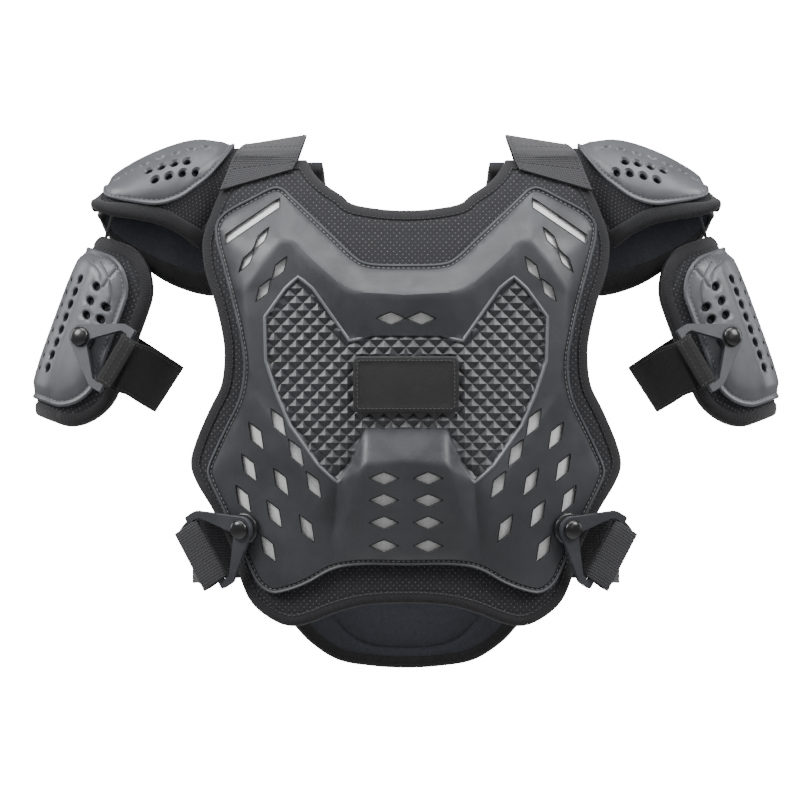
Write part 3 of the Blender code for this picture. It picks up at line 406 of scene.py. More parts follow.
# Sections of a shoulder wing from the neck outwards. Across is the share from the inner
# place to WING_REACH, down is a share of WING_FALL and depth a share of WING_DEPTH:
# (crest across, crest down, front across, front down, back across, back down, depth)
WING_CREST_IN = 0.669
WING_FRONT_IN = 0.965
WING_BACK_IN = 0.896
WING_SECTIONS = (
    (0.000, -0.030, 0.000, 0.674, 0.000, 1.000, 0.70),
    (0.205, -0.024, 0.150, 0.583, 0.158, 0.972, 0.82),
    (0.383, -0.042, 0.330, 0.514, 0.349, 0.910, 0.93),
    (0.571, 0.021, 0.560, 0.472, 0.531, 0.819, 0.95),
    (0.765, 0.139, 0.800, 0.444, 0.800, 0.646, 0.88),
    (0.913, 0.292, 1.000, 0.389, 0.958, 0.458, 0.78),
)
# Half outline of the cap on the wing: (share along the wing, share from crest to edge)
CAP_OUTLINE = (
    (0.155, 0.00),
    (0.165, 0.30),
    (0.205, 0.52),
    (0.270, 0.66),
    (0.370, 0.80),
    (0.520, 0.87),
    (0.740, 0.83),
    (0.900, 0.70),
    (0.960, 0.35),
    (0.968, 0.00),
)
# Rows of round vents in the cap: (first along, first from crest, steps along and from crest)
CAP_VENT_ROWS = (
    (0.625, 0.520, -0.075, -0.018),
    (0.563, 0.643, -0.081, -0.029),
)
CAP_VENTS_IN_ROW = 4

# The arm strap seen along the arm: (angle round the arm in degrees, radius / ARM_RADIUS)
ARM_STRAP_ROUTE = (
    (108, 1.33),
    (122, 1.14),
    (148, 0.93),
    (180, 0.88),
    (212, 0.93),
    (238, 1.04),
)
# Its end lies on the arm pad at these angles, in degrees
ARM_STRAP_BACK = (258, 265, 272)
ARM_STUD_ANGLE = math.radians(60)
ARM_STUD_DOWN = 0.017
ARM_BUCKLE_TURN = math.radians(12)
ARM_STRAP_LEAN = math.radians(12.8)
ARM_STRAP_DOWN = 0.022

# Waist stud and webbing: (across / CHEST_HALF_WIDTH, down / CHEST_HEIGHT)
WAIST_STUD = (0.742, 0.796)
WAIST_BUCKLE_TURN = math.radians(-28)
WAIST_END = (0.70, 0.84)
WAIST_ROUND_BACK = (0.042, 0.028, 0.014, 0.0)

# Sewn end of the shoulder webbing, where it leaves the panel, and its place on the shoulder:
# (across / CHEST_HALF_WIDTH, down / CHEST_HEIGHT)
SHOULDER_STRAP_LOW = (0.695, 0.066)
SHOULDER_STRAP_HIGH = (0.640, 0.006)
SHOULDER_STRAP_TOP = 0.610

# Looks of the dressed pieces
PIXEL = 0.00078
PHOTO_SIDE = 800
# The origin's place in the photograph: (pixels across, pixels down)
ORIGIN_SEEN = (406, 150)
SENSOR_WIDTH = 36.0
CAMERA_DISTANCE = 9.0
CHEST_FRONT = 0.06
FLOOR_HALF = 12.0
FLOOR_LEVEL = -2.4
SOFT_STRENGTH = 0.20
WHITE_STRENGTH = 20.0
LIGHTS_AIM = (0, 0, -0.2)
FINE = 0.0036
BEAD_WIDTH = 0.0020
CREASE_RADIUS = 0.0024
BEAD_HEIGHT = 0.0011
SEAM_WIDTH = 0.0024
SEAM_DEPTH = 0.0009
BEVEL_WIDTH = 0.0009
BEVEL_DEPTH = 0.0011
PYRAMID_HALF = 0.0057
PYRAMID_HEIGHT = 0.0023
PYRAMID_SINK = 0.0019
PYRAMID_MARGIN = 0.0014
PANEL_RIM_WIDTH = 0.0024
CAP_DIMPLE = 0.0047
CAP_BEAD = 0.0030
CAP_SEAM = 0.0041
CAP_GROOVE = 0.0052
CAP_BEAD_HEIGHT = 0.0007
CAP_GROOVE_DEPTH = 0.0007
CAP_FACE_RISE = 0.0016
CAP_RIM_STEPS = (0.0008, 0.0015, CAP_BEAD, CAP_SEAM, CAP_GROOVE)
PLATE_RIM_STEPS = (0.0005, 0.0010, 0.0015, BEAD_WIDTH, 0.0032, 0.0044)
DIMPLE_HALF = (0.0052, 0.0036)
DIMPLE_INNER = (0.0030, 0.0021)
DIMPLE_DEPTH = 0.0024
VENT_SINK = 0.0016
VENT_SLOPE = 0.0014
SHELL_GROOVE_DEPTH = 0.0006
SHELL_FACE_RISE = 0.0014
SHELL_VENT_HALF = (0.0031, 0.0038)
SHELL_OVAL_HALF = (0.0040, 0.0032)
SHELL_CREASE_DEPTH = 0.0008
SHELL_CREASE_WIDTH = 0.0012
LEAST_CORNER = 0.002
PAD_THINNING = 0.0024
PAD_EDGE = 0.007
PAD_PUFF = 0.0009
PAD_PUFF_SPAN = (0.0076, 0.017)
PAD_RIM_STEPS = (0.003, 0.0068, 0.012, 0.0165)
CRESCENT_DEPTH = 0.0022
CRESCENT_WIDTH = 0.0032
LOBE_PUFF = 0.0012
PANEL_RIM_HEIGHT = 0.0008
TAPE_WIDTH = 0.0088
TAPE_PUFF = 0.0011
STRAP_SLANT = 0.016
STUD_TIP = 0.00005
STITCH_LENGTH = 0.0026
STITCH_GAP = 0.0013
STITCH_RADIUS = 0.00040
DOT_PITCH = 0.0034

# Corners of the pyramid panel on one half, by the names of the plate's facet points
PYRAMID_PANEL = (
    "panel_top",
    "panel_top_out",
    "notch_in",
    "notch_out",
    "wing_slope",
    "wing_in",
    "wing_apex",
    "wing_shoulder",
    "wing_out",
    "wing_side",
    "wing_turn",
    "wing_low",
    "wing_bottom_out",
    "wing_bottom",
    "belly_foot",
    "belly_top_out",
    "belly_top",
)
# Dimples along a cap's crest, as seen in the photograph: (pixels across, pixels down)
CREST_DIMPLES = (
    (118, 181),
    (130, 174),
    (145, 167),
    (160, 160),
    (175, 156),
    (190, 152),
    (204, 150),
)
# Small ovals of the arm shell beside its main row, seen the same way
ARM_OVALS = ((97, 287), (91, 301), (87, 315), (106, 307), (101, 320))
# Moulded grooves of the arm shell, seen the same way
ARM_GROOVES = (
    ((119, 266), (112, 275), (104, 287)),
    ((101, 262), (108, 276), (112, 292), (109, 312)),
    ((92, 262), (99, 272), (101, 280)),
)
# Crescent pressed into the back pad's lower lobe: (metres across, metres down)
CRESCENT = (
    (-0.0585, 0.365),
    (-0.050, 0.3752),
    (-0.0374, 0.3845),
    (-0.0218, 0.3892),
    (0.0, 0.3905),
)
# Soft boxes: (name, place, width and height, watts)
LIGHTS = (
    ("key", (-1.3, -2.6, 1.8), (1.4, 1.4), 12),
    ("fill", (1.6, -2.4, 0.6), (1.4, 1.4), 5),
    ("top", (0, -0.6, 2.2), (2.4, 1.2), 70),
    ("side_right", (-1.9, -0.9, 1.3), (1.2, 1.2), 70),
    ("side_left", (1.9, -0.9, 1.3), (1.2, 1.2), 60),
    ("rim_right", (-2.2, 1.2, 0.6), (0.8, 1.8), 18),
    ("rim_left", (2.2, 1.2, 0.6), (0.8, 1.8), 18),
)


def vec(*parts):
    return np.stack(np.broadcast_arrays(*[np.asarray(p, float) for p in parts]), axis=-1)


def unit(v):
    return v / np.maximum(np.linalg.norm(v, axis=-1, keepdims=True), 1e-12)


def ramp(value, low, high):
    """0 below low, 1 above high, smooth between."""
    t = np.clip((value - low) / (high - low), 0, 1)
    return t * t * (3 - 2 * t)


def hump(value, low, high):
    """A round rise between low and high."""
    return np.sin(np.pi * np.clip((value - low) / (high - low), 0, 1))


def read_table(table, at):
    table = np.array(table, float)
    places, values = table[:, 0], table[:, 1]
    at = np.clip(at, places[0], places[-1])
    i = np.clip(np.searchsorted(places, at, side="right") - 1, 0, len(places) - 2)
    before, after = np.maximum(i - 1, 0), np.minimum(i + 2, len(places) - 1)
    slope0 = (values[i + 1] - values[before]) / (places[i + 1] - places[before])
    slope1 = (values[after] - values[i]) / (places[after] - places[i])
    span = places[i + 1] - places[i]
    t = (at - places[i]) / span
    return (
        values[i] * (2 * t**3 - 3 * t**2 + 1)
        + values[i + 1] * (3 * t**2 - 2 * t**3)
        + span * slope0 * (t**3 - 2 * t**2 + t)
        + span * slope1 * (t**3 - t**2)
    )


def spline(p0, p1, p2, p3, t):
    return 0.5 * (
        2 * p1 + (p2 - p0) * t + (2 * p0 - 5 * p1 + 4 * p2 - p3) * t * t + (3 * p1 - p0 - 3 * p2 + p3) * t**3
    )


def curve_through(points, spacing, closed=False, corners=()):
    points = [np.asarray(p, float) for p in points]
    count = len(points)
    result = []
    for i in range(count if closed else count - 1):
        p1, p2 = points[i], points[(i + 1) % count]
        p0 = points[i - 1] if (closed or i > 0) and i not in corners else 2 * p1 - p2
        last = (i + 2) % count if closed else i + 2
        ends = (i + 1) % count in corners or last >= count
        p3 = 2 * p2 - p1 if ends else points[last]
        steps = max(1, round(float(np.linalg.norm(p2 - p1)) / spacing))
        result += [spline(p0, p1, p2, p3, k / steps) for k in range(steps)]
    if not closed:
        result.append(points[-1])
    return np.array(result)


def split_line(points, spacing):
    result = [np.asarray(points[0], float)]
    for a, b in zip(points, points[1:]):
        a, b = np.asarray(a, float), np.asarray(b, float)
        steps = max(1, round(float(np.linalg.norm(b - a)) / spacing))
        result += [a + (b - a) * k / steps for k in range(1, steps + 1)]
    return np.array(result)


def panel_outline(rows, spacing=0.0030):
    half = [(np.array((u * CHEST_HALF_WIDTH, -v * CHEST_HEIGHT)), corner) for u, v, corner in rows]
    whole = half + [(p * (-1, 1), corner) for p, corner in reversed(half[1:-1])]
    corners = {i for i, (_, corner) in enumerate(whole) if corner}
    return curve_through([p for p, _ in whole], spacing, closed=True, corners=corners)


def closed_loop(path):
    return np.concatenate([path, path[:1]])


def inward(loop):
    """Unit directions from each point of a flat loop to its inside."""
    after = np.roll(loop, -1, axis=0)
    run = after - np.roll(loop, 1, axis=0)
    normal = unit(np.stack([-run[:, 1], run[:, 0]], axis=1))
    area = (loop[:, 0] * after[:, 1] - after[:, 0] * loop[:, 1]).sum()
    return normal if area > 0 else -normal


def inset(loop, distance):
    return loop + inward(loop) * distance


def beside(line, distance):
    run = np.gradient(line, axis=0)
    return line + unit(np.stack([-run[:, 1], run[:, 0]], axis=1)) * distance


def inside(p, loop):
    found = np.zeros(len(p), bool)
    for (ax, ay), (bx, by) in zip(loop, np.roll(loop, 1, axis=0)):
        crosses = (ay > p[:, 1]) != (by > p[:, 1])
        if crosses.any():
            found ^= crosses & (p[:, 0] < (bx - ax) * (p[:, 1] - ay) / (by - ay) + ax)
    return found


def path_distance(p, paths):
    """The distance from flat points to the nearest of some paths."""
    starts = np.concatenate([path[:-1] for path in paths])
    run = np.concatenate([path[1:] for path in paths]) - starts
    size = np.maximum((run**2).sum(axis=1), 1e-14)
    nearest = np.empty(len(p))
    for k in range(0, len(p), 300):
        away = p[k : k + 300, None, :] - starts[None]
        t = np.clip((away * run[None]).sum(axis=2) / size, 0, 1)
        nearest[k : k + 300] = np.linalg.norm(away - t[..., None] * run[None], axis=2).min(axis=1)
    return nearest


def triangulate(outline, holes, lines, spacing):
    points, edges = [], []

    def add(path, closed):
        start, count = len(points), len(path)
        points.extend(tuple(p) for p in path)
        edges.extend((start + i, start + (i + 1) % count) for i in range(count if closed else count - 1))

    add(outline, True)
    for hole in holes:
        add(hole, True)
    for line in lines:
        add(line, False)
    low, high = outline.min(axis=0), outline.max(axis=0)
    height = spacing * math.sqrt(3) / 2
    rows = np.arange(math.floor(low[1] / height), math.ceil(high[1] / height) + 1)
    columns = np.arange(math.floor(low[0] / spacing) - 1, math.ceil(high[0] / spacing) + 1)
    row, column = np.meshgrid(rows, columns, indexing="ij")
    grid = np.stack([(column + 0.5 * (row % 2)) * spacing, row * height], axis=-1).reshape(-1, 2)
    grid = grid[inside(grid, outline)]
    kept = [closed_loop(outline), *[closed_loop(hole) for hole in holes], *lines]
    grid = grid[path_distance(grid, kept) > 0.45 * spacing]
    points.extend(tuple(p) for p in grid)
    flat, _, faces, *_ = delaunay_2d_cdt([Vector(p) for p in points], edges, [], 0, 1e-7)
    flat, faces = np.array([tuple(p) for p in flat]), np.array(faces)
    centre = flat[faces].mean(axis=1)
    keep = inside(centre, outline)
    for hole in holes:
        keep &= ~inside(centre, hole)
    used, faces = np.unique(faces[keep], return_inverse=True)
    return flat[used], faces.reshape(-1, 3)


def add_piece(name, points, faces, materials, side=1, uv=None, smooth=35, pick=None):
    """A mesh object on the root body, mirrored to -X where side is -1."""
    points = np.array(points, float)
    points[:, 0] *= side
    mesh = bpy.data.meshes.new(name)
    mesh.from_pydata(points.tolist(), [], [list(map(int, face)) for face in faces])
    for material in materials:
        mesh.materials.append(material)
    if pick is not None:
        mesh.polygons.foreach_set("material_index", np.asarray(pick, np.int32))
    work = bmesh.new()
    work.from_mesh(mesh)
    bmesh.ops.recalc_face_normals(work, faces=work.faces)
    work.to_mesh(mesh)
    work.free()
    if uv is not None:
        layer = mesh.uv_layers.new(name="metres")
        corner = np.empty(len(mesh.loops), np.int32)
        mesh.loops.foreach_get("vertex_index", corner)
        layer.data.foreach_set("uv", uv[corner].astype(np.float32).ravel())
    mesh.polygons.foreach_set("use_smooth", np.ones(len(mesh.polygons), bool))
    mesh.set_sharp_from_angle(angle=math.radians(smooth))
    made = bpy.data.objects.new(name, mesh)
    bpy.context.scene.collection.objects.link(made)
    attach(made, "root")
    return made


def add_panel(
    name, outline, outer, inner, materials, holes=(), lines=(), spacing=FINE, side=1, smooth=35, pick=None
):
    """A sheet with an outer and an inner face over a flat outline."""
    flat, faces = triangulate(outline, list(holes), list(lines), spacing)
    count = len(flat)
    halves = {(int(a), int(b)) for face in faces for a, b in zip(face, np.roll(face, -1))}
    border = sorted(pair for pair in halves if (pair[1], pair[0]) not in halves)
    solid = faces.tolist() + (faces[:, ::-1] + count).tolist()
    solid += [[b, a, count + a, count + b] for a, b in border]
    chosen = None
    if pick is not None:
        chosen = np.zeros(len(solid), np.int32)
        chosen[: len(faces)] = pick(flat[faces].mean(axis=1))
    points = np.concatenate([outer(flat), inner(flat)])
    return add_piece(name, points, solid, materials, side, np.concatenate([flat, flat]), smooth, chosen)


def add_loft(name, rings, materials, side=1, closed=False, smooth=40):
    """A skin through rings of points, each a closed loop."""
    rings = np.array(rings, float)
    count, size = rings.shape[:2]
    faces = []
    for r in range(count if closed else count - 1):
        a, b = r * size, ((r + 1) % count) * size
        faces += [[a + i, a + (i + 1) % size, b + (i + 1) % size, b + i] for i in range(size)]
    if not closed:
        faces += [list(range(size))[::-1], [(count - 1) * size + i for i in range(size)]]
    middle = rings.mean(axis=1)
    along = np.concatenate([[0], np.cumsum(np.linalg.norm(np.diff(middle, axis=0), axis=1))])
    round_it = np.linalg.norm(np.diff(rings[0], axis=0), axis=1)
    about = np.concatenate([[0], np.cumsum(round_it)])
    uv = np.stack([np.repeat(along, size), np.tile(about, count)], axis=1)
    return add_piece(name, rings.reshape(-1, 3), faces, materials, side, uv, smooth)


def add_webbing(name, centres, across, thickness, materials, side=1):
    """Flat tape with round edges along a line. across holds each point's half-width vector."""
    centres, across = np.array(centres), np.array(across)
    middle = centres[2:] - centres[:-2]
    ahead = np.concatenate([centres[1:2] - centres[:1], middle, centres[-1:] - centres[-2:-1]])
    up = unit(np.cross(ahead, across)) * thickness / 2
    upper = [(x, math.sqrt(1 - ((-x - 0.96) / 0.04) ** 2)) for x in (-0.997, -0.98, -0.96)]
    upper += [(-0.6, 1.0), (-0.2, 1.0), (0.2, 1.0), (0.6, 1.0)]
    upper += [(-x, h) for x, h in reversed(upper[:3])]
    section = [(-1.0, 0.0), *upper, (1.0, 0.0), *[(x, -h) for x, h in reversed(upper)]]
    rings = np.stack([centres + across * x + up * h for x, h in section], axis=1)
    return add_loft(name, rings, materials, side), up


# Section of the folded binding: (share of its width inwards, share of half its thickness)
TAPE_SECTION = (
    (-0.12, 0.0),
    (-0.09, 0.55),
    (0.03, 0.88),
    (0.3, 1.0),
    (0.55, 1.02),
    (0.8, 0.98),
    (0.97, 0.86),
    (1.0, 0.60),
    (1.0, -0.60),
    (0.97, -0.86),
    (0.7, -1.0),
    (0.3, -1.0),
    (0.03, -0.88),
    (-0.09, -0.55),
)


def add_tape(name, loop, place, thickness, materials, side=1, width=TAPE_WIDTH, grow=None):
    """Binding folded over the edge of a pad whose outer face lies at height 0."""
    grow = np.ones(len(loop)) if grow is None else grow
    normal = inward(loop)
    rings = []
    for across, up in TAPE_SECTION:
        flat = loop + normal * (across * width * grow)[:, None]
        rings.append(place(flat, -thickness / 2 + up * (thickness / 2 + TAPE_PUFF * grow**2)))
    return add_loft(name, np.stack(rings, axis=1), materials, side, closed=True, smooth=60)


def on_surface(path, place, height):
    points = place(path, height)
    return points, unit(place(path, height + 0.001) - points)


def add_stitches(name, runs, materials, side=1, length=STITCH_LENGTH, gap=STITCH_GAP, radius=STITCH_RADIUS):
    """Short rounded threads in a row along each run of points and normals."""
    rows = ((-0.5, 0.35), (-0.3, 1.0), (0.3, 1.0), (0.5, 0.35))
    turns = [math.tau * i / 6 for i in range(6)]
    points, faces = [], []
    for path, normals in runs:
        run = np.concatenate([[0], np.cumsum(np.linalg.norm(np.diff(path, axis=0), axis=1))])
        count = max(1, int(run[-1] / (length + gap)))
        middle = (np.arange(count) + 0.5) * run[-1] / count

        def at(places, values):
            return np.stack([np.interp(places, run, values[:, k]) for k in range(3)], axis=1)

        start, end = at(middle - length / 2, path), at(middle + length / 2, path)
        ahead = unit(end - start)
        across = unit(np.cross(at(middle, normals), ahead))
        up = np.cross(ahead, across)
        for i in range(count):
            base, centre = len(points), (start[i] + end[i]) / 2
            for share, size in rows:
                for t in turns:
                    round_it = across[i] * math.cos(t) + up[i] * math.sin(t)
                    points.append(centre + ahead[i] * length * share + round_it * radius * size)
            for r in range(3):
                a = base + 6 * r
                faces += [[a + k, a + (k + 1) % 6, a + 6 + (k + 1) % 6, a + 6 + k] for k in range(6)]
            faces += [[base + k for k in range(6)], [base + 18 + k for k in range(6)]]
    return add_piece(name, points, faces, materials, side, smooth=80)


def torso_y(x, z, depth, profile):
    share = np.minimum(np.abs(x) / TORSO_HALF_WIDTH, 0.985)
    section = (1 - share**SECTION_POWER) ** (1 / SECTION_POWER)
    return depth * read_table(profile, -np.asarray(z) / CHEST_HEIGHT) * section


def chest_y(x, z):
    return -torso_y(x, z, CHEST_DEPTH, CHEST_PROFILE)


def back_y(x, z):
    return torso_y(x, z, BACK_DEPTH, BACK_PROFILE)


def slopes(form, x, z):
    along_x = (form(x + SLOPE_STEP, z) - form(x - SLOPE_STEP, z)) / (2 * SLOPE_STEP)
    along_z = (form(x, z + SLOPE_STEP) - form(x, z - SLOPE_STEP)) / (2 * SLOPE_STEP)
    return along_x, along_z


def raised(form, outward, flat, height):
    """The point at a height over a body form, still seen at the same place from the front."""
    x, z = flat[..., 0], flat[..., 1]
    along_x, along_z = slopes(form, x, z)
    return vec(x, form(x, z) + outward * height * np.sqrt(1 + along_x**2 + along_z**2), z)


def sunk(form, outward, flat, depth):
    """The point at a depth under a body form, measured square to it."""
    x, z = flat[..., 0], flat[..., 1]
    along_x, along_z = slopes(form, x, z)
    normal = unit(vec(-along_x, 1, -along_z)) * outward
    return vec(x, form(x, z), z) - normal * np.asarray(depth)[..., None]


class Relief:
    """Heights between named points, flat from point to point and along the creases."""

    def __init__(self, outline_rows, facets, creases, size):
        self.size = size
        rim = panel_outline(outline_rows, PANEL_SPACING * 0.7)
        half = rim[rim[:, 0] >= -1e-6]
        spread = np.array((CHEST_HALF_WIDTH, -CHEST_HEIGHT))
        self.places = {name: np.array((u, v)) * spread for name, (u, v, _) in facets.items()}
        names = list(facets)
        points = [Vector(p) for p in half] + [Vector(self.places[k]) for k in names]
        heights = [0.0] * len(half) + [share for _, _, share in facets.values()]
        edges = [(i, i + 1) for i in range(len(half) - 1)]
        for crease in creases:
            order = [len(half) + names.index(name) for name in crease]
            edges += list(zip(order, order[1:]))
        flat, _, faces, originals, *_ = delaunay_2d_cdt(points, edges, [], 0, 1e-7)
        self.triangles = []
        for face in faces:
            corner_heights = [heights[originals[i][0]] if originals[i] else 0.0 for i in face]
            self.triangles.append((*[np.array(flat[i]) for i in face], *corner_heights))
        self.lines = []
        for crease in creases:
            line = split_line([self.places[name] for name in crease], FINE)
            self.lines += [line, line * (-1, 1)]
            if not set(crease) <= set(PYRAMID_PANEL):
                for away in (-CREASE_RADIUS, CREASE_RADIUS):
                    self.lines += [beside(line, away), beside(line, away) * (-1, 1)]

    def height(self, flat):
        around = [np.zeros(2), *circle(CREASE_RADIUS, 6)]
        return np.mean([self.sharp_height(flat + away) for away in around], axis=0)

    def sharp_height(self, flat):
        p = np.abs(flat * (1, 0)) + flat * (0, 1)
        result = np.zeros(len(p))
        for a, b, c, ha, hb, hc in self.triangles:
            area = (b[0] - a[0]) * (c[1] - a[1]) - (b[1] - a[1]) * (c[0] - a[0])
            wa = ((b[0] - p[:, 0]) * (c[1] - p[:, 1]) - (b[1] - p[:, 1]) * (c[0] - p[:, 0])) / area
            wb = ((c[0] - p[:, 0]) * (a[1] - p[:, 1]) - (c[1] - p[:, 1]) * (a[0] - p[:, 0])) / area
            wc = 1 - wa - wb
            held = (wa >= -1e-5) & (wb >= -1e-5) & (wc >= -1e-5)
            result[held] = (wa * ha + wb * hb + wc * hc)[held]
        return self.size * result


# Materials


def base_material(name, colour, roughness, sheen=0.0, coat=0.0):
    made = bpy.data.materials.new(name)
    made.use_nodes = True
    nodes, links = made.node_tree.nodes, made.node_tree.links
    shader = nodes["Principled BSDF"]
    shader.inputs["Base Color"].default_value = (*colour, 1)
    shader.inputs["Roughness"].default_value = roughness
    shader.inputs["Sheen Weight"].default_value = sheen
    shader.inputs["Coat Weight"].default_value = coat
    return made, nodes, links, shader


def mix_colours(nodes, links, factor, low, high):
    """A colour between two, by a factor socket."""
    mix = nodes.new("ShaderNodeMix")
    mix.data_type = "RGBA"
    mix.inputs["A"].default_value = (*low, 1)
    mix.inputs["B"].default_value = (*high, 1)
    links.new(factor, mix.inputs["Factor"])
    return mix.outputs["Result"]


def noise(nodes, links, scale, detail=3.0):
    place = nodes.new("ShaderNodeTexCoord")
    made = nodes.new("ShaderNodeTexNoise")
    made.inputs["Scale"].default_value = scale
    made.inputs["Detail"].default_value = detail
    links.new(place.outputs["Object"], made.inputs["Vector"])
    return made.outputs["Fac"]


def map_range(nodes, links, value, low, high, to_low=0.0, to_high=1.0):
    made = nodes.new("ShaderNodeMapRange")
    made.inputs["From Min"].default_value = low
    made.inputs["From Max"].default_value = high
    made.inputs["To Min"].default_value = to_low
    made.inputs["To Max"].default_value = to_high
    links.new(value, made.inputs["Value"])
    return made.outputs["Result"]


def math_node(nodes, links, kind, a, b):
    made = nodes.new("ShaderNodeMath")
    made.operation = kind
    for socket, value in zip(made.inputs, (a, b)):
        if isinstance(value, (int, float)):
            socket.default_value = value
        else:
            links.new(value, socket)
    return made.outputs["Value"]


def add_bump(nodes, links, shader, height, depth, strength=1.0, under=None):
    bump = nodes.new("ShaderNodeBump")
    bump.inputs["Strength"].default_value = strength
    bump.inputs["Distance"].default_value = depth
    links.new(height, bump.inputs["Height"])
    if under:
        links.new(under, bump.inputs["Normal"])
    links.new(bump.outputs["Normal"], shader.inputs["Normal"])
    return bump.outputs["Normal"]


def plastic(name, colour, roughness, grain=0.00012, spread=0.16):
    """Moulded plastic: a fine grain, slight clouding and softly rubbed patches."""
    made, nodes, links, shader = base_material(name, colour, roughness)
    cloud = map_range(nodes, links, noise(nodes, links, 22, 4), 0.35, 0.65)
    low = tuple(c * (1 - spread) for c in colour)
    high = tuple(c * (1 + spread) for c in colour)
    links.new(mix_colours(nodes, links, cloud, low, high), shader.inputs["Base Color"])
    rub = map_range(nodes, links, noise(nodes, links, 70, 5), 0.3, 0.7, roughness - 0.06, roughness + 0.08)
    links.new(rub, shader.inputs["Roughness"])
    add_bump(nodes, links, shader, noise(nodes, links, 1500, 2), grain)
    return made


def uv_wave(nodes, links, direction, period):
    place = nodes.new("ShaderNodeUVMap")
    place.uv_map = "metres"
    made = nodes.new("ShaderNodeTexWave")
    made.bands_direction = direction
    made.inputs["Scale"].default_value = math.tau / 20 / period
    links.new(place.outputs["UV"], made.inputs["Vector"])
    return made.outputs["Fac"]


def woven(name, colour, across, along, depth, light=1.7, sheen=0.12):
    """Tape or cloth with ribs across its run and fainter ones along it."""
    made, nodes, links, shader = base_material(name, colour, 0.86, sheen)
    ribs = uv_wave(nodes, links, "X", across)
    if along:
        ribs = math_node(nodes, links, "MULTIPLY", ribs, uv_wave(nodes, links, "Y", along))
    fuzz = noise(nodes, links, 2600, 2)
    height = math_node(nodes, links, "ADD", ribs, math_node(nodes, links, "MULTIPLY", fuzz, 0.35))
    shade = map_range(nodes, links, height, 0.1, 1.2)
    high = tuple(c * light for c in colour)
    low = tuple(c * 0.6 for c in colour)
    links.new(mix_colours(nodes, links, shade, low, high), shader.inputs["Base Color"])
    add_bump(nodes, links, shader, height, depth)
    return made


def knit(name, colour, sheen=0.15):
    """Soft lining cloth with a fine nap and slow folds."""
    made, nodes, links, shader = base_material(name, colour, 0.92, sheen)
    fine = noise(nodes, links, 1900, 3)
    high = tuple(c * 1.9 for c in colour)
    shade = map_range(nodes, links, fine, 0.3, 0.7)
    low = tuple(c * 0.6 for c in colour)
    links.new(mix_colours(nodes, links, shade, low, high), shader.inputs["Base Color"])
    slow = add_bump(nodes, links, shader, noise(nodes, links, 42, 2), 0.0016, 0.7)
    add_bump(nodes, links, shader, fine, 0.0003, 1.0, slow)
    return made


def dotted(name, colour, dot, pitch=DOT_PITCH):
    """Perforated mesh cloth: pale dots on a diagonal lattice, each a small dent."""
    made, nodes, links, shader = base_material(name, colour, 0.88, 0.06)
    place = nodes.new("ShaderNodeUVMap")
    place.uv_map = "metres"
    turn = nodes.new("ShaderNodeMapping")
    turn.inputs["Rotation"].default_value = (0, 0, math.pi / 4)
    turn.inputs["Scale"].default_value = (1 / pitch, 1 / pitch, 1)
    links.new(place.outputs["UV"], turn.inputs["Vector"])
    last = turn.outputs["Vector"]
    steps = (("FRACTION", None), ("SUBTRACT", (0.5, 0.5, 0)), ("MULTIPLY", (1, 1, 0)), ("LENGTH", None))
    for kind, value in steps:
        step = nodes.new("ShaderNodeVectorMath")
        step.operation = kind
        links.new(last, step.inputs[0])
        if value:
            step.inputs[1].default_value = value
        last = step.outputs["Value"] if kind == "LENGTH" else step.outputs["Vector"]
    mask = map_range(nodes, links, last, 0.12, 0.20, 1.0, 0.0)
    uneven = map_range(nodes, links, noise(nodes, links, 420, 2), 0.35, 0.65, 0.25, 1.0)
    mask = math_node(nodes, links, "MULTIPLY", mask, uneven)
    links.new(mix_colours(nodes, links, mask, colour, dot), shader.inputs["Base Color"])
    dent = add_bump(nodes, links, shader, mask, -0.0006)
    add_bump(nodes, links, shader, noise(nodes, links, 1700, 2), 0.00025, 1.0, dent)
    return made


PLATE = plastic("moulded_plate", (0.039, 0.041, 0.046), 0.40)
# Near-black plastic for the stitched groove at the rim, also used round the windows as painted shade in their
# recesses
SEAM_AND_SHADE = plastic("seam_groove_and_painted_shade", (0.008, 0.008, 0.009), 0.6)
PLATE_EDGE = plastic("moulded_edge", (0.062, 0.065, 0.072), 0.46)
PANEL_RIM = plastic("panel_rim", (0.125, 0.131, 0.142), 0.42)
PYRAMIDS = plastic("pyramid_panel", (0.026, 0.027, 0.031), 0.36)
CAP = plastic("cap_plastic", (0.082, 0.085, 0.094), 0.36)
BUCKLE = plastic("buckle_plastic_fine", (0.043, 0.045, 0.052), 0.40, 0.0001)
STUD = plastic("stud_plastic", (0.014, 0.014, 0.015), 0.22, 0.00005)
RUBBER = plastic("patch_rubber_fine", (0.012, 0.012, 0.013), 0.55, 0.0004)
LINER = woven("liner_cloth", (0.920, 0.920, 0.920), 0.0010, 0.0010, 0.0002, 1.1, 0.0)
MESH = dotted("perforated_mesh", (0.012, 0.012, 0.015), (0.13, 0.13, 0.14))
LINING = knit("navy_lining", (0.029, 0.031, 0.041))
BINDING = woven("ribbed_binding", (0.010, 0.010, 0.012), 0.0012, 0, 0.00025, 1.5, 0.12)
WEBBING = woven("woven_webbing", (0.038, 0.038, 0.042), 0.0016, 0.0022, 0.0004)
ELASTIC = woven("smooth_elastic", (0.004, 0.004, 0.004), 0.0012, 0, 0.00015, 1.3, 0.04)
THREAD = base_material("dark_thread", (0.035, 0.036, 0.038), 0.7, 0.2)[0]
PALE_THREAD = base_material("grey_thread", (0.15, 0.15, 0.16), 0.6, 0.2)[0]


# Chest


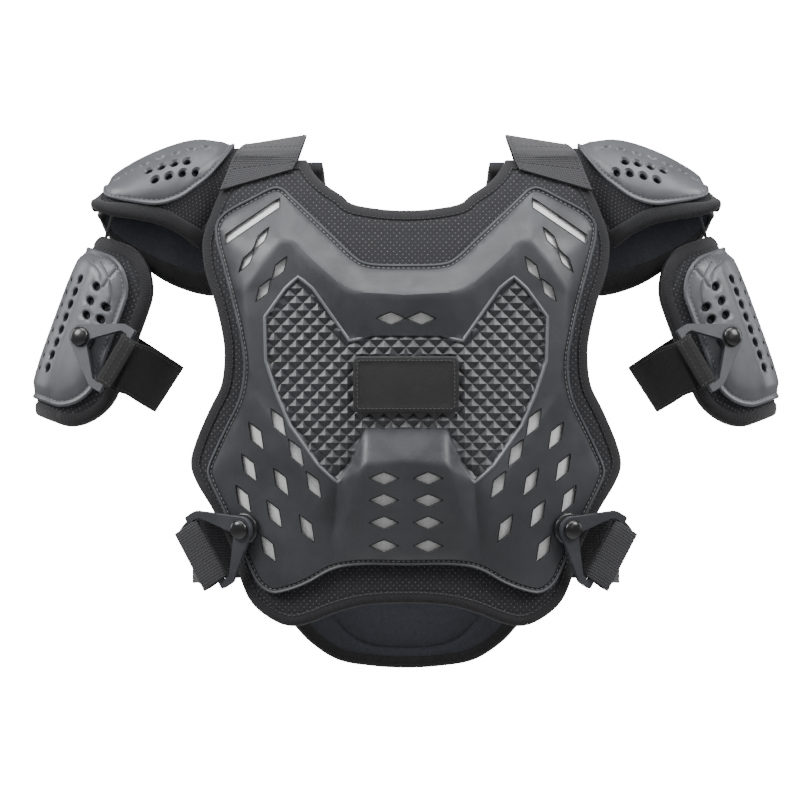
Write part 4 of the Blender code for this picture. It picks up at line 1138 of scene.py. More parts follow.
def window_loops():
    loops = []
    for shape, u, v in WINDOWS:
        centre = np.array((u * CHEST_HALF_WIDTH, -v * CHEST_HEIGHT))
        tip, flank = (np.array((-x, -y)) * WINDOW_SIZE for x, y in WINDOW_SHAPES[shape])
        tip, flank = tip * 1.04, flank * (1.5 if shape == "narrow" else 1.16)
        loops.append(np.array([centre + tip, centre + flank, centre - tip, centre - flank]))
    low, high = (np.array((u * CHEST_HALF_WIDTH, -v * CHEST_HEIGHT)) for u, v in SLOT_ENDS)
    drop = np.array((0, -SLOT_WIDTH * CHEST_HEIGHT * 1.15))
    loops.append(np.array([low, high, high + drop, low + drop]))
    loops += [loop[::-1] * (-1, 1) for loop in loops]
    return [split_line([*loop, loop[0]], 0.003)[:-1] for loop in loops]


def patch_box(shrink=0.0, spacing=0.003):
    middle = -CHEST_FACETS["panel_centre"][1] * CHEST_HEIGHT
    half = np.array((PATCH_WIDTH / 2, PATCH_HEIGHT / 2)) - shrink
    corner = max(PATCH_CORNER - shrink, LEAST_CORNER)
    return rounded_box(half[0], middle - half[1], middle + half[1], corner, spacing)


def rounded_box(half_x, low_y, high_y, corner, spacing, steps=8):
    points = []
    high, low = high_y - corner, low_y + corner
    for start, sx, y in ((90, 1, high), (0, 1, low), (-90, -1, low), (-180, -1, high)):
        for k in range(steps + 1):
            turn = math.radians(start - 90 * k / steps)
            centre = np.array((sx * (half_x - corner), y))
            points.append(centre + corner * np.array((math.cos(turn), math.sin(turn))))
    return split_line([*points, points[0]], spacing)[:-1]


def pyramid_rise(flat):
    """0 between the diamonds and 1 at their tips."""
    best = np.zeros(len(flat))
    for shift in (0.0, PYRAMID_HALF):
        near = flat - np.round((flat - shift) / (2 * PYRAMID_HALF)) * 2 * PYRAMID_HALF - shift
        best = np.maximum(best, 1 - np.abs(near).sum(axis=1) / PYRAMID_HALF)
    return best


def pyramid_lines(region, bare):
    lines = []
    low, high = region.min(axis=0), region.max(axis=0)
    for shift in (0.0, PYRAMID_HALF):
        first, last = np.floor(low / (2 * PYRAMID_HALF)), np.ceil(high / (2 * PYRAMID_HALF))
        for i in np.arange(first[0], last[0] + 1):
            for j in np.arange(first[1], last[1] + 1):
                tip = np.array((i, j)) * 2 * PYRAMID_HALF + shift
                if not inside(tip[None], region)[0] or inside(tip[None], bare)[0]:
                    continue
                corners = [tip + PYRAMID_HALF * np.array(c) for c in ((1, 0), (0, 1), (-1, 0), (0, -1))]
                lines += [np.array([corners[k - 1], corners[k]]) for k in range(4)]
                lines += [np.array([tip, corner]) for corner in corners]
    return lines


def rim_relief(edge):
    """The rolled bead and the stitched groove of a plate, by the distance from its rim."""
    bead = BEAD_HEIGHT * hump(edge, 0, BEAD_WIDTH)
    return bead - SEAM_DEPTH * hump(edge, BEAD_WIDTH, BEAD_WIDTH + SEAM_WIDTH)


def build_chest():
    relief = Relief(PLATE_OUTLINE, CHEST_FACETS, CHEST_CREASES, CHEST_RELIEF)
    rim = panel_outline(PLATE_OUTLINE)
    windows = window_loops()
    half = [relief.places[name] for name in PYRAMID_PANEL]
    corners = half + [p * (-1, 1) for p in reversed(half[1:-1])]
    region = split_line([*corners, corners[0]], FINE)[:-1]
    framed = [relief.places[name] for name in PYRAMID_PANEL[2:14]]
    frames = [split_line(framed, FINE), split_line(framed, FINE) * (-1, 1)]
    bare = patch_box(0.0015)
    window_paths = [closed_loop(loop) for loop in windows]

    def details(flat):
        edge = path_distance(flat, [closed_loop(rim)])
        height = rim_relief(edge)
        height -= BEVEL_DEPTH * np.clip(1 - path_distance(flat, window_paths) / BEVEL_WIDTH, 0, 1)
        held = inside(flat, region) & ~inside(flat, bare)
        margin = path_distance(flat, [closed_loop(region), closed_loop(bare)])
        sink = np.clip(margin / PYRAMID_MARGIN, 0, 1) * held
        height += sink * (PYRAMID_HEIGHT * pyramid_rise(flat) - PYRAMID_SINK)
        framing = PANEL_RIM_HEIGHT * hump(path_distance(flat, frames), 0, PANEL_RIM_WIDTH)
        return height + framing * ~inside(flat, region)

    def pick(flat):
        chosen = np.zeros(len(flat), np.int32)
        within = inside(flat, region)
        chosen[within] = 3
        chosen[~within & (path_distance(flat, frames) < PANEL_RIM_WIDTH)] = 2
        edge = path_distance(flat, [closed_loop(rim)])
        chosen[edge < BEAD_WIDTH + SEAM_WIDTH] = 4
        chosen[edge < BEAD_WIDTH] = 1
        # Faces round each window take the near-black plastic: painted shade in the window recess
        chosen[path_distance(flat, window_paths) < BEVEL_WIDTH] = 4
        return chosen

    def over(lift):
        return lambda flat: raised(chest_y, -1, flat, lift + relief.height(flat))

    loops = [closed_loop(inset(rim, d)) for d in PLATE_RIM_STEPS]
    loops += [closed_loop(inset(loop, -BEVEL_WIDTH)) for loop in windows]
    loops += [closed_loop(inset(region, d)) for d in (0.0, PYRAMID_MARGIN, -0.0012, -PANEL_RIM_WIDTH)]
    loops += [closed_loop(bare), closed_loop(patch_box(0.0015 - PYRAMID_MARGIN))]
    loops += relief.lines + pyramid_lines(inset(region, 0.003), patch_box(-0.002))
    top = PLATE_LIFT + PLATE_THICKNESS
    plate = add_panel(
        "chest_plate_moulded",
        rim,
        lambda flat: raised(chest_y, -1, flat, top + relief.height(flat) + details(flat)),
        over(PLATE_LIFT),
        [PLATE, PLATE_EDGE, PANEL_RIM, PYRAMIDS, SEAM_AND_SHADE],
        holes=windows,
        lines=loops,
        smooth=21,
        pick=pick,
    )
    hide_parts("chest_plate")

    liner = add_panel(
        "chest_liner_cloth",
        rim,
        over(LINER_LIFT + LINER_THICKNESS),
        over(LINER_LIFT),
        [LINER],
        lines=relief.lines,
        spacing=0.009,
    )
    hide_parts("chest_liner")

    def seam_place(path, height):
        return raised(chest_y, -1, path, top + relief.height(path) + height)

    seam = closed_loop(inset(rim, BEAD_WIDTH + SEAM_WIDTH / 2))
    run = on_surface(seam, seam_place, STITCH_RADIUS / 2 - SEAM_DEPTH)
    thread = add_stitches("chest_plate_stitches", [run], [PALE_THREAD])

    patch_lift = top + LAYER_GAP
    box = patch_box()

    def patch_top(flat):
        edge = path_distance(flat, [closed_loop(box)])
        welt = 0.0003 * hump(edge, 0.0014, 0.0052) - 0.0007 * np.clip(1 - edge / 0.0009, 0, 1)
        return raised(chest_y, -1, flat, patch_lift + PATCH_THICKNESS + relief.height(flat) + welt)

    rings = [closed_loop(patch_box(d)) for d in (0.0009, 0.0014, 0.0033, 0.0052)]
    under = over(patch_lift)
    patch = add_panel("chest_patch_bare", box, patch_top, under, [RUBBER], lines=rings, spacing=0.004)
    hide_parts("chest_patch")
    run = on_surface(closed_loop(patch_box(0.0033)), seam_place, LAYER_GAP + PATCH_THICKNESS + 0.0004)
    thread = add_stitches("chest_patch_stitches", [run], [THREAD], length=0.0022, gap=0.0010)


def outer_face(flat):
    return np.ones(len(flat), np.int32)


def build_torso_pad(name, node, rows, form, outward, inner_extra=None, lines=()):
    rim = panel_outline(rows, 0.0040)

    def soft(flat):
        return path_distance(flat, [closed_loop(rim)])

    def outer(flat):
        edge = soft(flat)
        thinned = PAD_THINNING * np.clip(1 - edge / PAD_EDGE, 0, 1) ** 2
        return raised(form, outward, flat, PAD_PUFF * hump(edge, *PAD_PUFF_SPAN) - thinned)

    def inner(flat):
        edge = soft(flat)
        depth = PAD_THICKNESS - PAD_THINNING * np.clip(1 - edge / PAD_EDGE, 0, 1) ** 2
        if inner_extra is not None:
            depth = depth + inner_extra(flat)
        return sunk(form, outward, flat, depth)

    def place(flat, height):
        return sunk(form, outward, flat, -height)

    loops = [closed_loop(inset(rim, d)) for d in PAD_RIM_STEPS]
    cloth = [LINING, MESH]
    lines = [*loops, *lines]
    pad = add_panel(name, rim, outer, inner, cloth, lines=lines, spacing=0.0065, smooth=50, pick=outer_face)
    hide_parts(node)
    tape = add_tape(f"{name}_binding", rim, place, PAD_THICKNESS, [BINDING])
    runs = [on_surface(closed_loop(inset(rim, TAPE_WIDTH - 0.0014)), place, TAPE_PUFF + 0.0001)]
    add_stitches(f"{name}_stitches", runs, [THREAD])


def build_back():
    half = np.array([(x, -down) for x, down in CRESCENT])
    path = np.concatenate([half, half[-2::-1] * (-1, 1)])
    crescent = curve_through(path, 0.004)

    def pressed(flat):
        away = path_distance(flat, [crescent])
        lobe = inside(flat, crescent)
        groove = np.clip(1 - away / CRESCENT_WIDTH, 0, 1)
        return -CRESCENT_DEPTH * groove + LOBE_PUFF * ramp(away, 0.002, 0.010) * lobe

    rings = [crescent, inset(crescent, CRESCENT_WIDTH)[2:-2], inset(crescent, -CRESCENT_WIDTH)[2:-2]]
    build_torso_pad("back_pad_soft", "back_pad", BACK_PAD_OUTLINE, back_y, 1, pressed, rings)
    relief = Relief(BACK_PLATE_OUTLINE, BACK_FACETS, BACK_CREASES, BACK_RELIEF)
    rim = panel_outline(BACK_PLATE_OUTLINE)

    def details(flat):
        return rim_relief(path_distance(flat, [closed_loop(rim)]))

    def pick(flat):
        edge = path_distance(flat, [closed_loop(rim)])
        return np.where(edge < BEAD_WIDTH, 1, np.where(edge < BEAD_WIDTH + SEAM_WIDTH, 2, 0))

    top = LAYER_GAP + PLATE_THICKNESS
    loops = [closed_loop(inset(rim, d)) for d in PLATE_RIM_STEPS]
    plate = add_panel(
        "back_plate_moulded",
        rim,
        lambda flat: raised(back_y, 1, flat, top + relief.height(flat) + details(flat)),
        lambda flat: raised(back_y, 1, flat, LAYER_GAP + relief.height(flat)),
        [PLATE, PLATE_EDGE, SEAM_AND_SHADE],
        lines=loops + relief.lines,
        spacing=0.005,
        pick=pick,
    )
    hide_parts("back_plate")

    def seam_place(path, height):
        return raised(back_y, 1, path, top + relief.height(path) + height)

    seam = closed_loop(inset(rim, BEAD_WIDTH + SEAM_WIDTH / 2))
    run = on_surface(seam, seam_place, STITCH_RADIUS / 2 - SEAM_DEPTH)
    thread = add_stitches("back_plate_stitches", [run], [PALE_THREAD])


# Shoulders


def wing_point(along, turn):
    along, turn = np.asarray(along, float), np.asarray(turn, float)
    rows = len(WING_SECTIONS) - 1
    tables = [[(i / rows, row[k]) for i, row in enumerate(WING_SECTIONS)] for k in range(7)]
    columns = [read_table(table, along) for table in tables]
    crest_x, crest_z, front_x, front_z, back_x, back_z, depth = columns
    front = turn < 0
    inner_edge = np.where(front, WING_FRONT_IN, WING_BACK_IN)

    def place(inner, share):
        start = inner * CHEST_HALF_WIDTH
        return start + (WING_REACH - start) * share

    crest = vec(place(WING_CREST_IN, crest_x), -crest_z * WING_FALL)
    edge_x = place(inner_edge, np.where(front, front_x, back_x))
    edge = vec(edge_x, -np.where(front, front_z, back_z) * WING_FALL)
    angle = np.abs(turn) * math.pi / 2
    seen = crest + (edge - crest) * (1 - np.cos(angle))[..., None]
    return vec(seen[..., 0], np.copysign(depth * WING_DEPTH * np.sin(angle), turn), seen[..., 1])


def wing_offset(flat, height):
    along, turn = flat[..., 0] / WING_FLAT[0], flat[..., 1] / WING_FLAT[1]
    step = 0.01
    here = wing_point(along, turn)
    run_along = wing_point(along + step, turn) - wing_point(along - step, turn)
    run_turn = wing_point(along, turn + step) - wing_point(along, turn - step)
    normal = unit(np.cross(run_along, run_turn))
    outward = here - vec(here[..., 0], 0, -WING_FALL)
    flip = np.where((normal * outward).sum(axis=-1) < 0, -1.0, 1.0)
    return here + normal * (flip * np.asarray(height))[..., None]


WING_FLAT = np.array((0.15, 0.10))


def seen_at(across, down):
    """A place in the photograph as metres across and up, on the side of +X."""
    return (ORIGIN_SEEN[0] - across) * PIXEL, (ORIGIN_SEEN[1] - down) * PIXEL


def find_flat(place, low, high, spot):
    """The flat place whose point on a form is seen at a spot from the front."""
    grid = np.stack(np.meshgrid(*[np.linspace(a, b, 220) for a, b in zip(low, high)], indexing="ij"), axis=-1)
    grid = grid.reshape(-1, 2)
    points = place(grid, 0.002)
    return grid[np.argmin((points[:, 0] - spot[0]) ** 2 + (points[:, 2] - spot[1]) ** 2)]


def oval(centre, half_x, half_y, sides=16, lean=0.0):
    turns = np.arange(sides) * math.tau / sides
    flat = np.stack([np.cos(turns) * half_x, np.sin(turns) * half_y], axis=1)
    c, s = math.cos(lean), math.sin(lean)
    return centre + flat @ np.array(((c, s), (-s, c)))


def build_shoulder(name, side):
    def over(height):
        return lambda flat: wing_offset(flat, height)

    corner = 0.020
    x1, y1 = WING_FLAT
    points = []
    for cx, cy, start in ((x1 - corner, y1 - corner, 90), (x1 - corner, corner - y1, 0)):
        for k in range(7):
            turn = math.radians(start - 15 * k)
            points.append((cx + corner * math.cos(turn), cy + corner * math.sin(turn)))
    outline = split_line([(0, y1), *points, (0, -y1), (0, y1)], 0.004)[:-1]

    def soft(flat, base, share):
        edge = path_distance(flat, [closed_loop(outline)])
        return wing_offset(flat, base + share * 0.0018 * np.clip(1 - edge / 0.008, 0, 1) ** 2)

    loops = [closed_loop(inset(outline, d)) for d in (0.003, 0.0075)]
    pad = add_panel(
        f"shoulder_pad_soft_{name}",
        outline,
        lambda flat: soft(flat, 0.0, -1),
        lambda flat: soft(flat, -WING_THICKNESS, 1),
        [LINING, MESH],
        lines=loops,
        spacing=0.0055,
        side=side,
        smooth=50,
        pick=outer_face,
    )
    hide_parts(f"shoulder_pad_{name}")
    front = ramp(-outline[:, 1] / y1, 0.55, 1.0)
    grow = 1 + 0.85 * front * ramp(outline[:, 0] / x1, 0.1, 0.95)
    label = f"shoulder_pad_binding_{name}"
    tape = add_tape(label, outline, wing_offset, WING_THICKNESS, [BINDING], side, grow=grow)

    shape = [np.array((a, t)) * WING_FLAT for a, t in CAP_OUTLINE]
    shape += [p * (1, -1) for p in reversed(shape[1:-1])]
    rim = curve_through(shape, 0.0030, closed=True)
    holes, rings, centres = [], [], []
    for along, turn, step_along, step_turn in CAP_VENT_ROWS:
        for k in range(CAP_VENTS_IN_ROW):
            centre = np.array((along + k * step_along, -(turn + k * step_turn))) * WING_FLAT
            centres.append(centre)
            holes.append(oval(centre + (0, -0.0005), 0.0034, 0.0034))
            rings.append(closed_loop(oval(centre, CAP_DIMPLE, CAP_DIMPLE)))
    dimples = [find_flat(wing_offset, (0.02, -0.09), (0.148, 0.0), seen_at(*spot)) for spot in CREST_DIMPLES]
    rings += [closed_loop(oval(p, *DIMPLE_HALF)) for p in dimples]
    rings += [closed_loop(oval(p, *DIMPLE_INNER)) for p in dimples]

    def cap_height(flat):
        edge = path_distance(flat, [closed_loop(rim)])
        height = CAP_BEAD_HEIGHT * hump(edge, 0, CAP_BEAD)
        height -= CAP_GROOVE_DEPTH * hump(edge, CAP_BEAD, CAP_GROOVE)
        height += CAP_FACE_RISE * ramp(edge, 0.0046, 0.012)
        height += 0.0009 * np.exp(-(((flat[:, 1] / y1 + 0.22) / 0.05) ** 2)) * ramp(edge, 0.006, 0.014)
        for centre in centres:
            away = np.linalg.norm(flat - centre, axis=1)
            height -= VENT_SINK * np.clip((CAP_DIMPLE - away) / VENT_SLOPE, 0, 1)
        for centre in dimples:
            away = np.linalg.norm((flat - centre) / DIMPLE_HALF, axis=1)
            height -= DIMPLE_DEPTH * np.clip(1 - away**2, 0, 1)
        return height

    lines = [closed_loop(inset(rim, d)) for d in CAP_RIM_STEPS] + rings
    base = LAYER_GAP + CAP_THICKNESS
    cap = add_panel(
        f"shoulder_cap_moulded_{name}",
        rim,
        lambda flat: wing_offset(flat, base + cap_height(flat)),
        over(LAYER_GAP),
        [CAP],
        holes=holes,
        lines=lines,
        spacing=0.0030,
        side=side,
    )
    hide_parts(f"shoulder_cap_{name}")
    seam = closed_loop(inset(rim, CAP_SEAM))
    run = on_surface(seam, wing_offset, base - 0.0005)
    thread = add_stitches(f"shoulder_cap_stitches_{name}", [run], [PALE_THREAD], side)


def build_shoulder_strap(name, side):
    rest = LAYER_GAP + STRAP_THICKNESS / 2
    lean = math.tan(STRAP_TILT)
    top_x = SHOULDER_STRAP_TOP * CHEST_HALF_WIDTH
    under = [wing_point(k / 20, 0) for k in range(5)]
    reached = [p for p in under if p[0] < top_x + STRAP_WIDTH / 2 + STRAP_THICKNESS]
    top_z = max(p[2] + (p[0] - top_x) * lean for p in reached) + rest
    size = np.array((CHEST_HALF_WIDTH, -CHEST_HEIGHT))
    sewn, leaves = (np.array(p) * size for p in (SHOULDER_STRAP_LOW, SHOULDER_STRAP_HIGH))
    places = [sewn + (leaves - sewn) * k / 3 for k in range(4)]
    front = [sunk(chest_y, -1, p, -rest) for p in places]
    back = [sunk(back_y, 1, p, -rest) for p in places]
    centres = curve_through(front + [np.array((top_x, 0, top_z))] + back[::-1], 0.004)
    half = np.array((math.cos(STRAP_TILT), 0, -math.sin(STRAP_TILT)))
    across = []
    for i, centre in enumerate(centres):
        ahead = unit(centres[min(i + 1, len(centres) - 1)] - centres[max(i - 1, 0)])
        form = chest_y if centre[1] < 0 else back_y
        along_x, _ = slopes(form, centre[0], min(centre[2], -SHOULDER_STRAP_HIGH[1] * CHEST_HEIGHT))
        on_panel = unit(np.array((1, along_x, 0)))
        share = min(max((top_z - centre[2]) / (top_z - front[-1][2]), 0), 1)
        mixed = half + (on_panel - half) * share
        mixed = mixed - ahead * mixed.dot(ahead)
        fade = max(0.0, 1 - float(np.linalg.norm(centre - centres[0])) / 0.035)
        across.append(unit(mixed) * STRAP_WIDTH / 2 - ahead * STRAP_SLANT * fade)
    strap, up = add_webbing(f"shoulder_strap_woven_{name}", centres, across, STRAP_THICKNESS, [WEBBING], side)
    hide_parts(f"shoulder_strap_{name}")
    across = np.array(across)
    lift = unit(up) * (1 if up[len(up) // 2][2] > 0 else -1)
    runs = []
    for share in (-0.9, 0.9):
        path = centres + across * share + lift * (STRAP_THICKNESS / 2 + 0.0001)
        runs.append((path, lift))
    for at in (3, 9, len(centres) - 10, len(centres) - 4):
        shares = np.linspace(-0.88, 0.88, 8)[:, None]
        path = centres[at] + across[at] * shares + lift[at] * (STRAP_THICKNESS / 2 + 0.0001)
        runs.append((path, np.repeat(lift[at][None], 8, axis=0)))
    add_stitches(f"shoulder_strap_stitches_{name}", runs, [THREAD], side)


# Arms

ARM_AXIS = np.array((math.sin(ARM_TILT), 0, -math.cos(ARM_TILT)))
ARM_OUT = np.array((math.cos(ARM_TILT), 0, math.sin(ARM_TILT)))
ARM_FORWARD = np.array((0, -1, 0))
ARM_CENTRE = np.array((WING_REACH - ARM_INSET, 0, -ARM_DROP))
ARM_PAD_MIDDLE = ARM_PAD_LENGTH / 2 - ARM_PAD_ABOVE


def arm_point(angle, down, radius):
    angle, down, radius = (np.asarray(v, float)[..., None] for v in (angle, down, radius))
    return ARM_CENTRE + ARM_AXIS * down + (ARM_OUT * np.cos(angle) + ARM_FORWARD * np.sin(angle)) * radius


def arm_offset(flat, height):
    share = (flat[..., 1] - ARM_PAD_MIDDLE) / (ARM_PAD_LENGTH / 2)
    return arm_point(flat[..., 0] / ARM_RADIUS, flat[..., 1], ARM_RADIUS - ARM_BARREL * share**4 + height)


def build_arm_guard(name, side):
    low, high = -ARM_PAD_ABOVE, ARM_PAD_LENGTH - ARM_PAD_ABOVE
    half = ARM_RADIUS * ARM_PAD_ANGLE
    outline = rounded_box(half, low, high, half * ARM_CORNER, 0.004, 12)

    def soft(flat, base, share):
        edge = path_distance(flat, [closed_loop(outline)])
        return arm_offset(flat, base + share * 0.002 * np.clip(1 - edge / 0.008, 0, 1) ** 2)

    pad = add_panel(
        f"arm_pad_soft_{name}",
        outline,
        lambda flat: soft(flat, 0.0, -1),
        lambda flat: soft(flat, -ARM_PAD_THICKNESS, 1),
        [LINING, MESH],
        lines=[closed_loop(inset(outline, d)) for d in (0.003, 0.0075)],
        spacing=0.0055,
        side=side,
        smooth=50,
        pick=outer_face,
    )
    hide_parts(f"arm_pad_{name}")
    tape = add_tape(f"arm_pad_binding_{name}", outline, arm_offset, ARM_PAD_THICKNESS, [BINDING], side)

    low, high = low + ARM_SHELL_MARGIN, high - ARM_SHELL_MARGIN
    half = ARM_RADIUS * ARM_SHELL_ANGLE
    rim = rounded_box(half, low, high, half * ARM_CORNER, 0.003, 14)
    first = ARM_PAD_MIDDLE - ARM_VENT_PITCH * (ARM_VENT_COUNT - 1) / 2
    holes = []
    for k in range(ARM_VENT_COUNT):
        centre = np.array((ARM_RADIUS * ARM_VENT_ANGLE, first + k * ARM_VENT_PITCH))
        holes.append(oval(centre, *SHELL_VENT_HALF, lean=0.35))
        for degrees, size in ((16, 0.75), (2, 0.6)):
            slot_at = np.array((ARM_RADIUS * math.radians(degrees), first + (k + 0.25) * ARM_VENT_PITCH))
            holes.append(oval(slot_at, size * ARM_VENT_LENGTH / 2, size * ARM_VENT_WIDTH / 2, 12))
    bounds = (0.0, low), (ARM_RADIUS * math.radians(88), high)
    for spot in ARM_OVALS:
        holes.append(oval(find_flat(arm_offset, *bounds, seen_at(*spot)), *SHELL_OVAL_HALF, lean=0.4))
    grooves = []
    for spots in ARM_GROOVES:
        places = [find_flat(arm_offset, *bounds, seen_at(*spot)) for spot in spots]
        grooves.append(curve_through(places, 0.003))
    bevels = [closed_loop(hole) for hole in holes]

    def shell_height(flat):
        edge = path_distance(flat, [closed_loop(rim)])
        height = CAP_BEAD_HEIGHT * hump(edge, 0, CAP_BEAD)
        height -= SHELL_GROOVE_DEPTH * hump(edge, CAP_BEAD, CAP_GROOVE)
        height += 0.0011 * ramp(edge, 0.0046, 0.013)
        height -= 0.0007 * np.clip(1 - path_distance(flat, bevels) / 0.0010, 0, 1)
        height -= SHELL_CREASE_DEPTH * np.clip(1 - path_distance(flat, grooves) / SHELL_CREASE_WIDTH, 0, 1)
        face = ramp(-flat[:, 0], -ARM_RADIUS * 0.80, -ARM_RADIUS * 0.70)
        height += SHELL_FACE_RISE * face * ramp(edge, 0.005, 0.012)
        return height

    lines = [closed_loop(inset(rim, d)) for d in CAP_RIM_STEPS]
    lines += [closed_loop(inset(hole, -0.0010)) for hole in holes]
    sides = (-SHELL_CREASE_WIDTH, SHELL_CREASE_WIDTH)
    lines += grooves + [beside(groove, away) for groove in grooves for away in sides]
    base = LAYER_GAP + ARM_SHELL_THICKNESS
    shell = add_panel(
        f"arm_shell_moulded_{name}",
        rim,
        lambda flat: arm_offset(flat, base + shell_height(flat)),
        lambda flat: arm_offset(flat, LAYER_GAP),
        [CAP],
        holes=holes,
        lines=lines,
        spacing=0.0030,
        side=side,
    )
    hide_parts(f"arm_shell_{name}")
    seam = closed_loop(inset(rim, CAP_SEAM))
    run = on_surface(seam, arm_offset, base - 0.0004)
    thread = add_stitches(f"arm_shell_stitches_{name}", [run], [PALE_THREAD], side)


# Buckles, studs and their webbing


def circle(radius, sides):
    turns = np.arange(sides) * math.tau / sides
    return radius * np.stack([np.cos(turns), np.sin(turns)], axis=1)


def seat(surface, flat, radius, turn):
    """A frame on a surface: origin clear of it within the radius, then ahead, aside and up."""
    step = radius * 0.8
    run_x = surface(flat + (step, 0)) - surface(flat - (step, 0))
    run_y = surface(flat + (0, step)) - surface(flat - (0, step))
    up = unit(np.cross(run_x, run_y))
    centre = surface(flat)
    if up.dot(centre - (0.6 * centre[0], 0, centre[2])) < 0:
        up = -up
    ring = np.array([surface(flat + p) for p in circle(radius, 12)])
    lift = max(0.0, float(((ring - centre) @ up).max()))
    ahead = unit(run_x)
    ahead = unit(ahead - up * ahead.dot(up))
    aside = np.cross(up, ahead)
    if aside[2] > 0:
        aside = -aside
    turned = ahead * math.cos(turn) + aside * math.sin(turn)
    return centre + up * (lift + RIGID_GAP), turned, np.cross(up, turned), up


def build_stud(name, node, stand, boss_radius, side):
    origin, ahead, aside, up = stand
    neck = BOSS_HEIGHT + BUCKLE_THICKNESS + 2 * RIGID_GAP
    head = STUD_HEAD_RADIUS
    profile = [
        (STUD_TIP, 0),
        (boss_radius * 0.97, 0),
        (boss_radius, 0.0004),
        (boss_radius, BOSS_HEIGHT * 0.7),
        (boss_radius * 0.97, BOSS_HEIGHT * 0.88),
        (boss_radius * 0.9, BOSS_HEIGHT),
        (POST_RADIUS, BOSS_HEIGHT),
        (POST_RADIUS, neck),
        (head * 0.96, neck),
        (head, neck + 0.0004),
        (head, neck + 0.0011),
    ]
    for k in range(1, 9):
        turn = math.radians(90 * k / 8)
        rise = (STUD_HEAD_HEIGHT - 0.0011) * math.sin(turn)
        profile.append((max(head * math.cos(turn), STUD_TIP), neck + 0.0011 + rise))
    rings = []
    for radius, height in profile:
        flat = circle(radius, 40)
        rings.append(origin + up * height + ahead * flat[:, :1] + aside * flat[:, 1:])
    stud = add_loft(name, rings, [STUD], side, smooth=38)
    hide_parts(node)


def build_buckle(name, node, stand, width, side):
    origin, ahead, aside, up = stand
    half_slot = width / 2 + WEBBING_PLAY
    half = half_slot + BUCKLE_ARM
    shoulder = BUCKLE_LENGTH - BUCKLE_SHOULDER
    inner_end, outer_end = BUCKLE_LENGTH - BUCKLE_BAR / 2, BUCKLE_LENGTH + BUCKLE_BAR / 2
    turns = [math.radians(245 - 130 * i / 20) for i in range(21)]
    nose = [NOSE_RADIUS * np.array((math.cos(a), math.sin(a))) for a in turns]
    foot = [(shoulder, half), (outer_end, half), (outer_end, -half), (shoulder, -half)]
    rim = np.array([*nose, *foot])
    rim = curve_round(rim, {len(nose), len(nose) + 1, len(nose) + 2, len(nose) + 3}, 0.0022)
    apex = NOSE_RADIUS - 0.001
    end = WINDOW_END_WIDTH / 2
    window = [(apex, end), (shoulder, half_slot), (inner_end, half_slot)]
    window = np.array(window + [(x, -y) for x, y in reversed(window)])
    window = curve_round(window, set(range(6)), 0.0012)
    floor = BOSS_HEIGHT + RIGID_GAP

    def at(height):
        return lambda flat: origin + ahead * flat[:, :1] + aside * flat[:, 1:] + up * height

    buckle = add_panel(
        name,
        rim,
        at(floor + BUCKLE_THICKNESS),
        at(floor),
        [BUCKLE],
        holes=[circle(POST_RADIUS + POST_PLAY, 32), window],
        spacing=1.0,
        side=side,
        smooth=40,
    )
    bevel = buckle.modifiers.new("soft_edges", "BEVEL")
    bevel.width = 0.0007
    bevel.segments = 3
    bevel.limit_method = "ANGLE"
    bevel.angle_limit = math.radians(50)
    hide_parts(node)


def curve_round(loop, corners, radius):
    """A loop whose named corners are rounded off."""
    points = []
    for i, p in enumerate(loop):
        if i not in corners:
            points.append(p)
            continue
        a, b = unit(loop[i - 1] - p) * radius, unit(loop[(i + 1) % len(loop)] - p) * radius
        points += [p + a * (1 - t) ** 2 + b * t**2 for t in (0, 0.25, 0.5, 0.75, 1)]
    return np.array(points)


def bar_loop(stand, free_end):
    origin, ahead, _, up = stand
    middle = BOSS_HEIGHT + RIGID_GAP + BUCKLE_THICKNESS / 2
    lift = BUCKLE_THICKNESS / 2 + RIGID_GAP + STRAP_THICKNESS / 2
    reach = BUCKLE_BAR / 2 + RIGID_GAP * 2 + STRAP_THICKNESS / 2
    steps = (
        (free_end, 0.9 * lift),
        (reach * 2.2, lift),
        (reach * 0.7, lift),
        (-reach * 0.55, lift * 0.95),
        (-reach * 1.15, lift * 0.45),
        (-reach * 1.15, -lift * 0.45),
        (-reach * 0.55, -lift * 0.95),
        (reach * 0.7, -lift),
        (reach * 2.2, -lift),
    )
    return [origin + ahead * (BUCKLE_LENGTH + p) + up * (middle + n) for p, n in steps]


def strap_stitches(name, centres, across, up, rows, side):
    """Rows of stitching across a strap at some of its points, and along its edges."""
    lift = unit(up)
    runs = []
    for face in (1, -1):
        for share in (-0.88, 0.88):
            runs.append((centres + across * share + lift * face * (STRAP_THICKNESS / 2), lift * face))
        for at in rows:
            shares = np.linspace(-0.86, 0.86, 8)[:, None]
            path = centres[at] + across[at] * shares + lift[at] * face * (STRAP_THICKNESS / 2)
            runs.append((path, np.repeat(lift[at][None] * face, 8, axis=0)))
    add_stitches(name, runs, [THREAD], side, radius=0.00025)


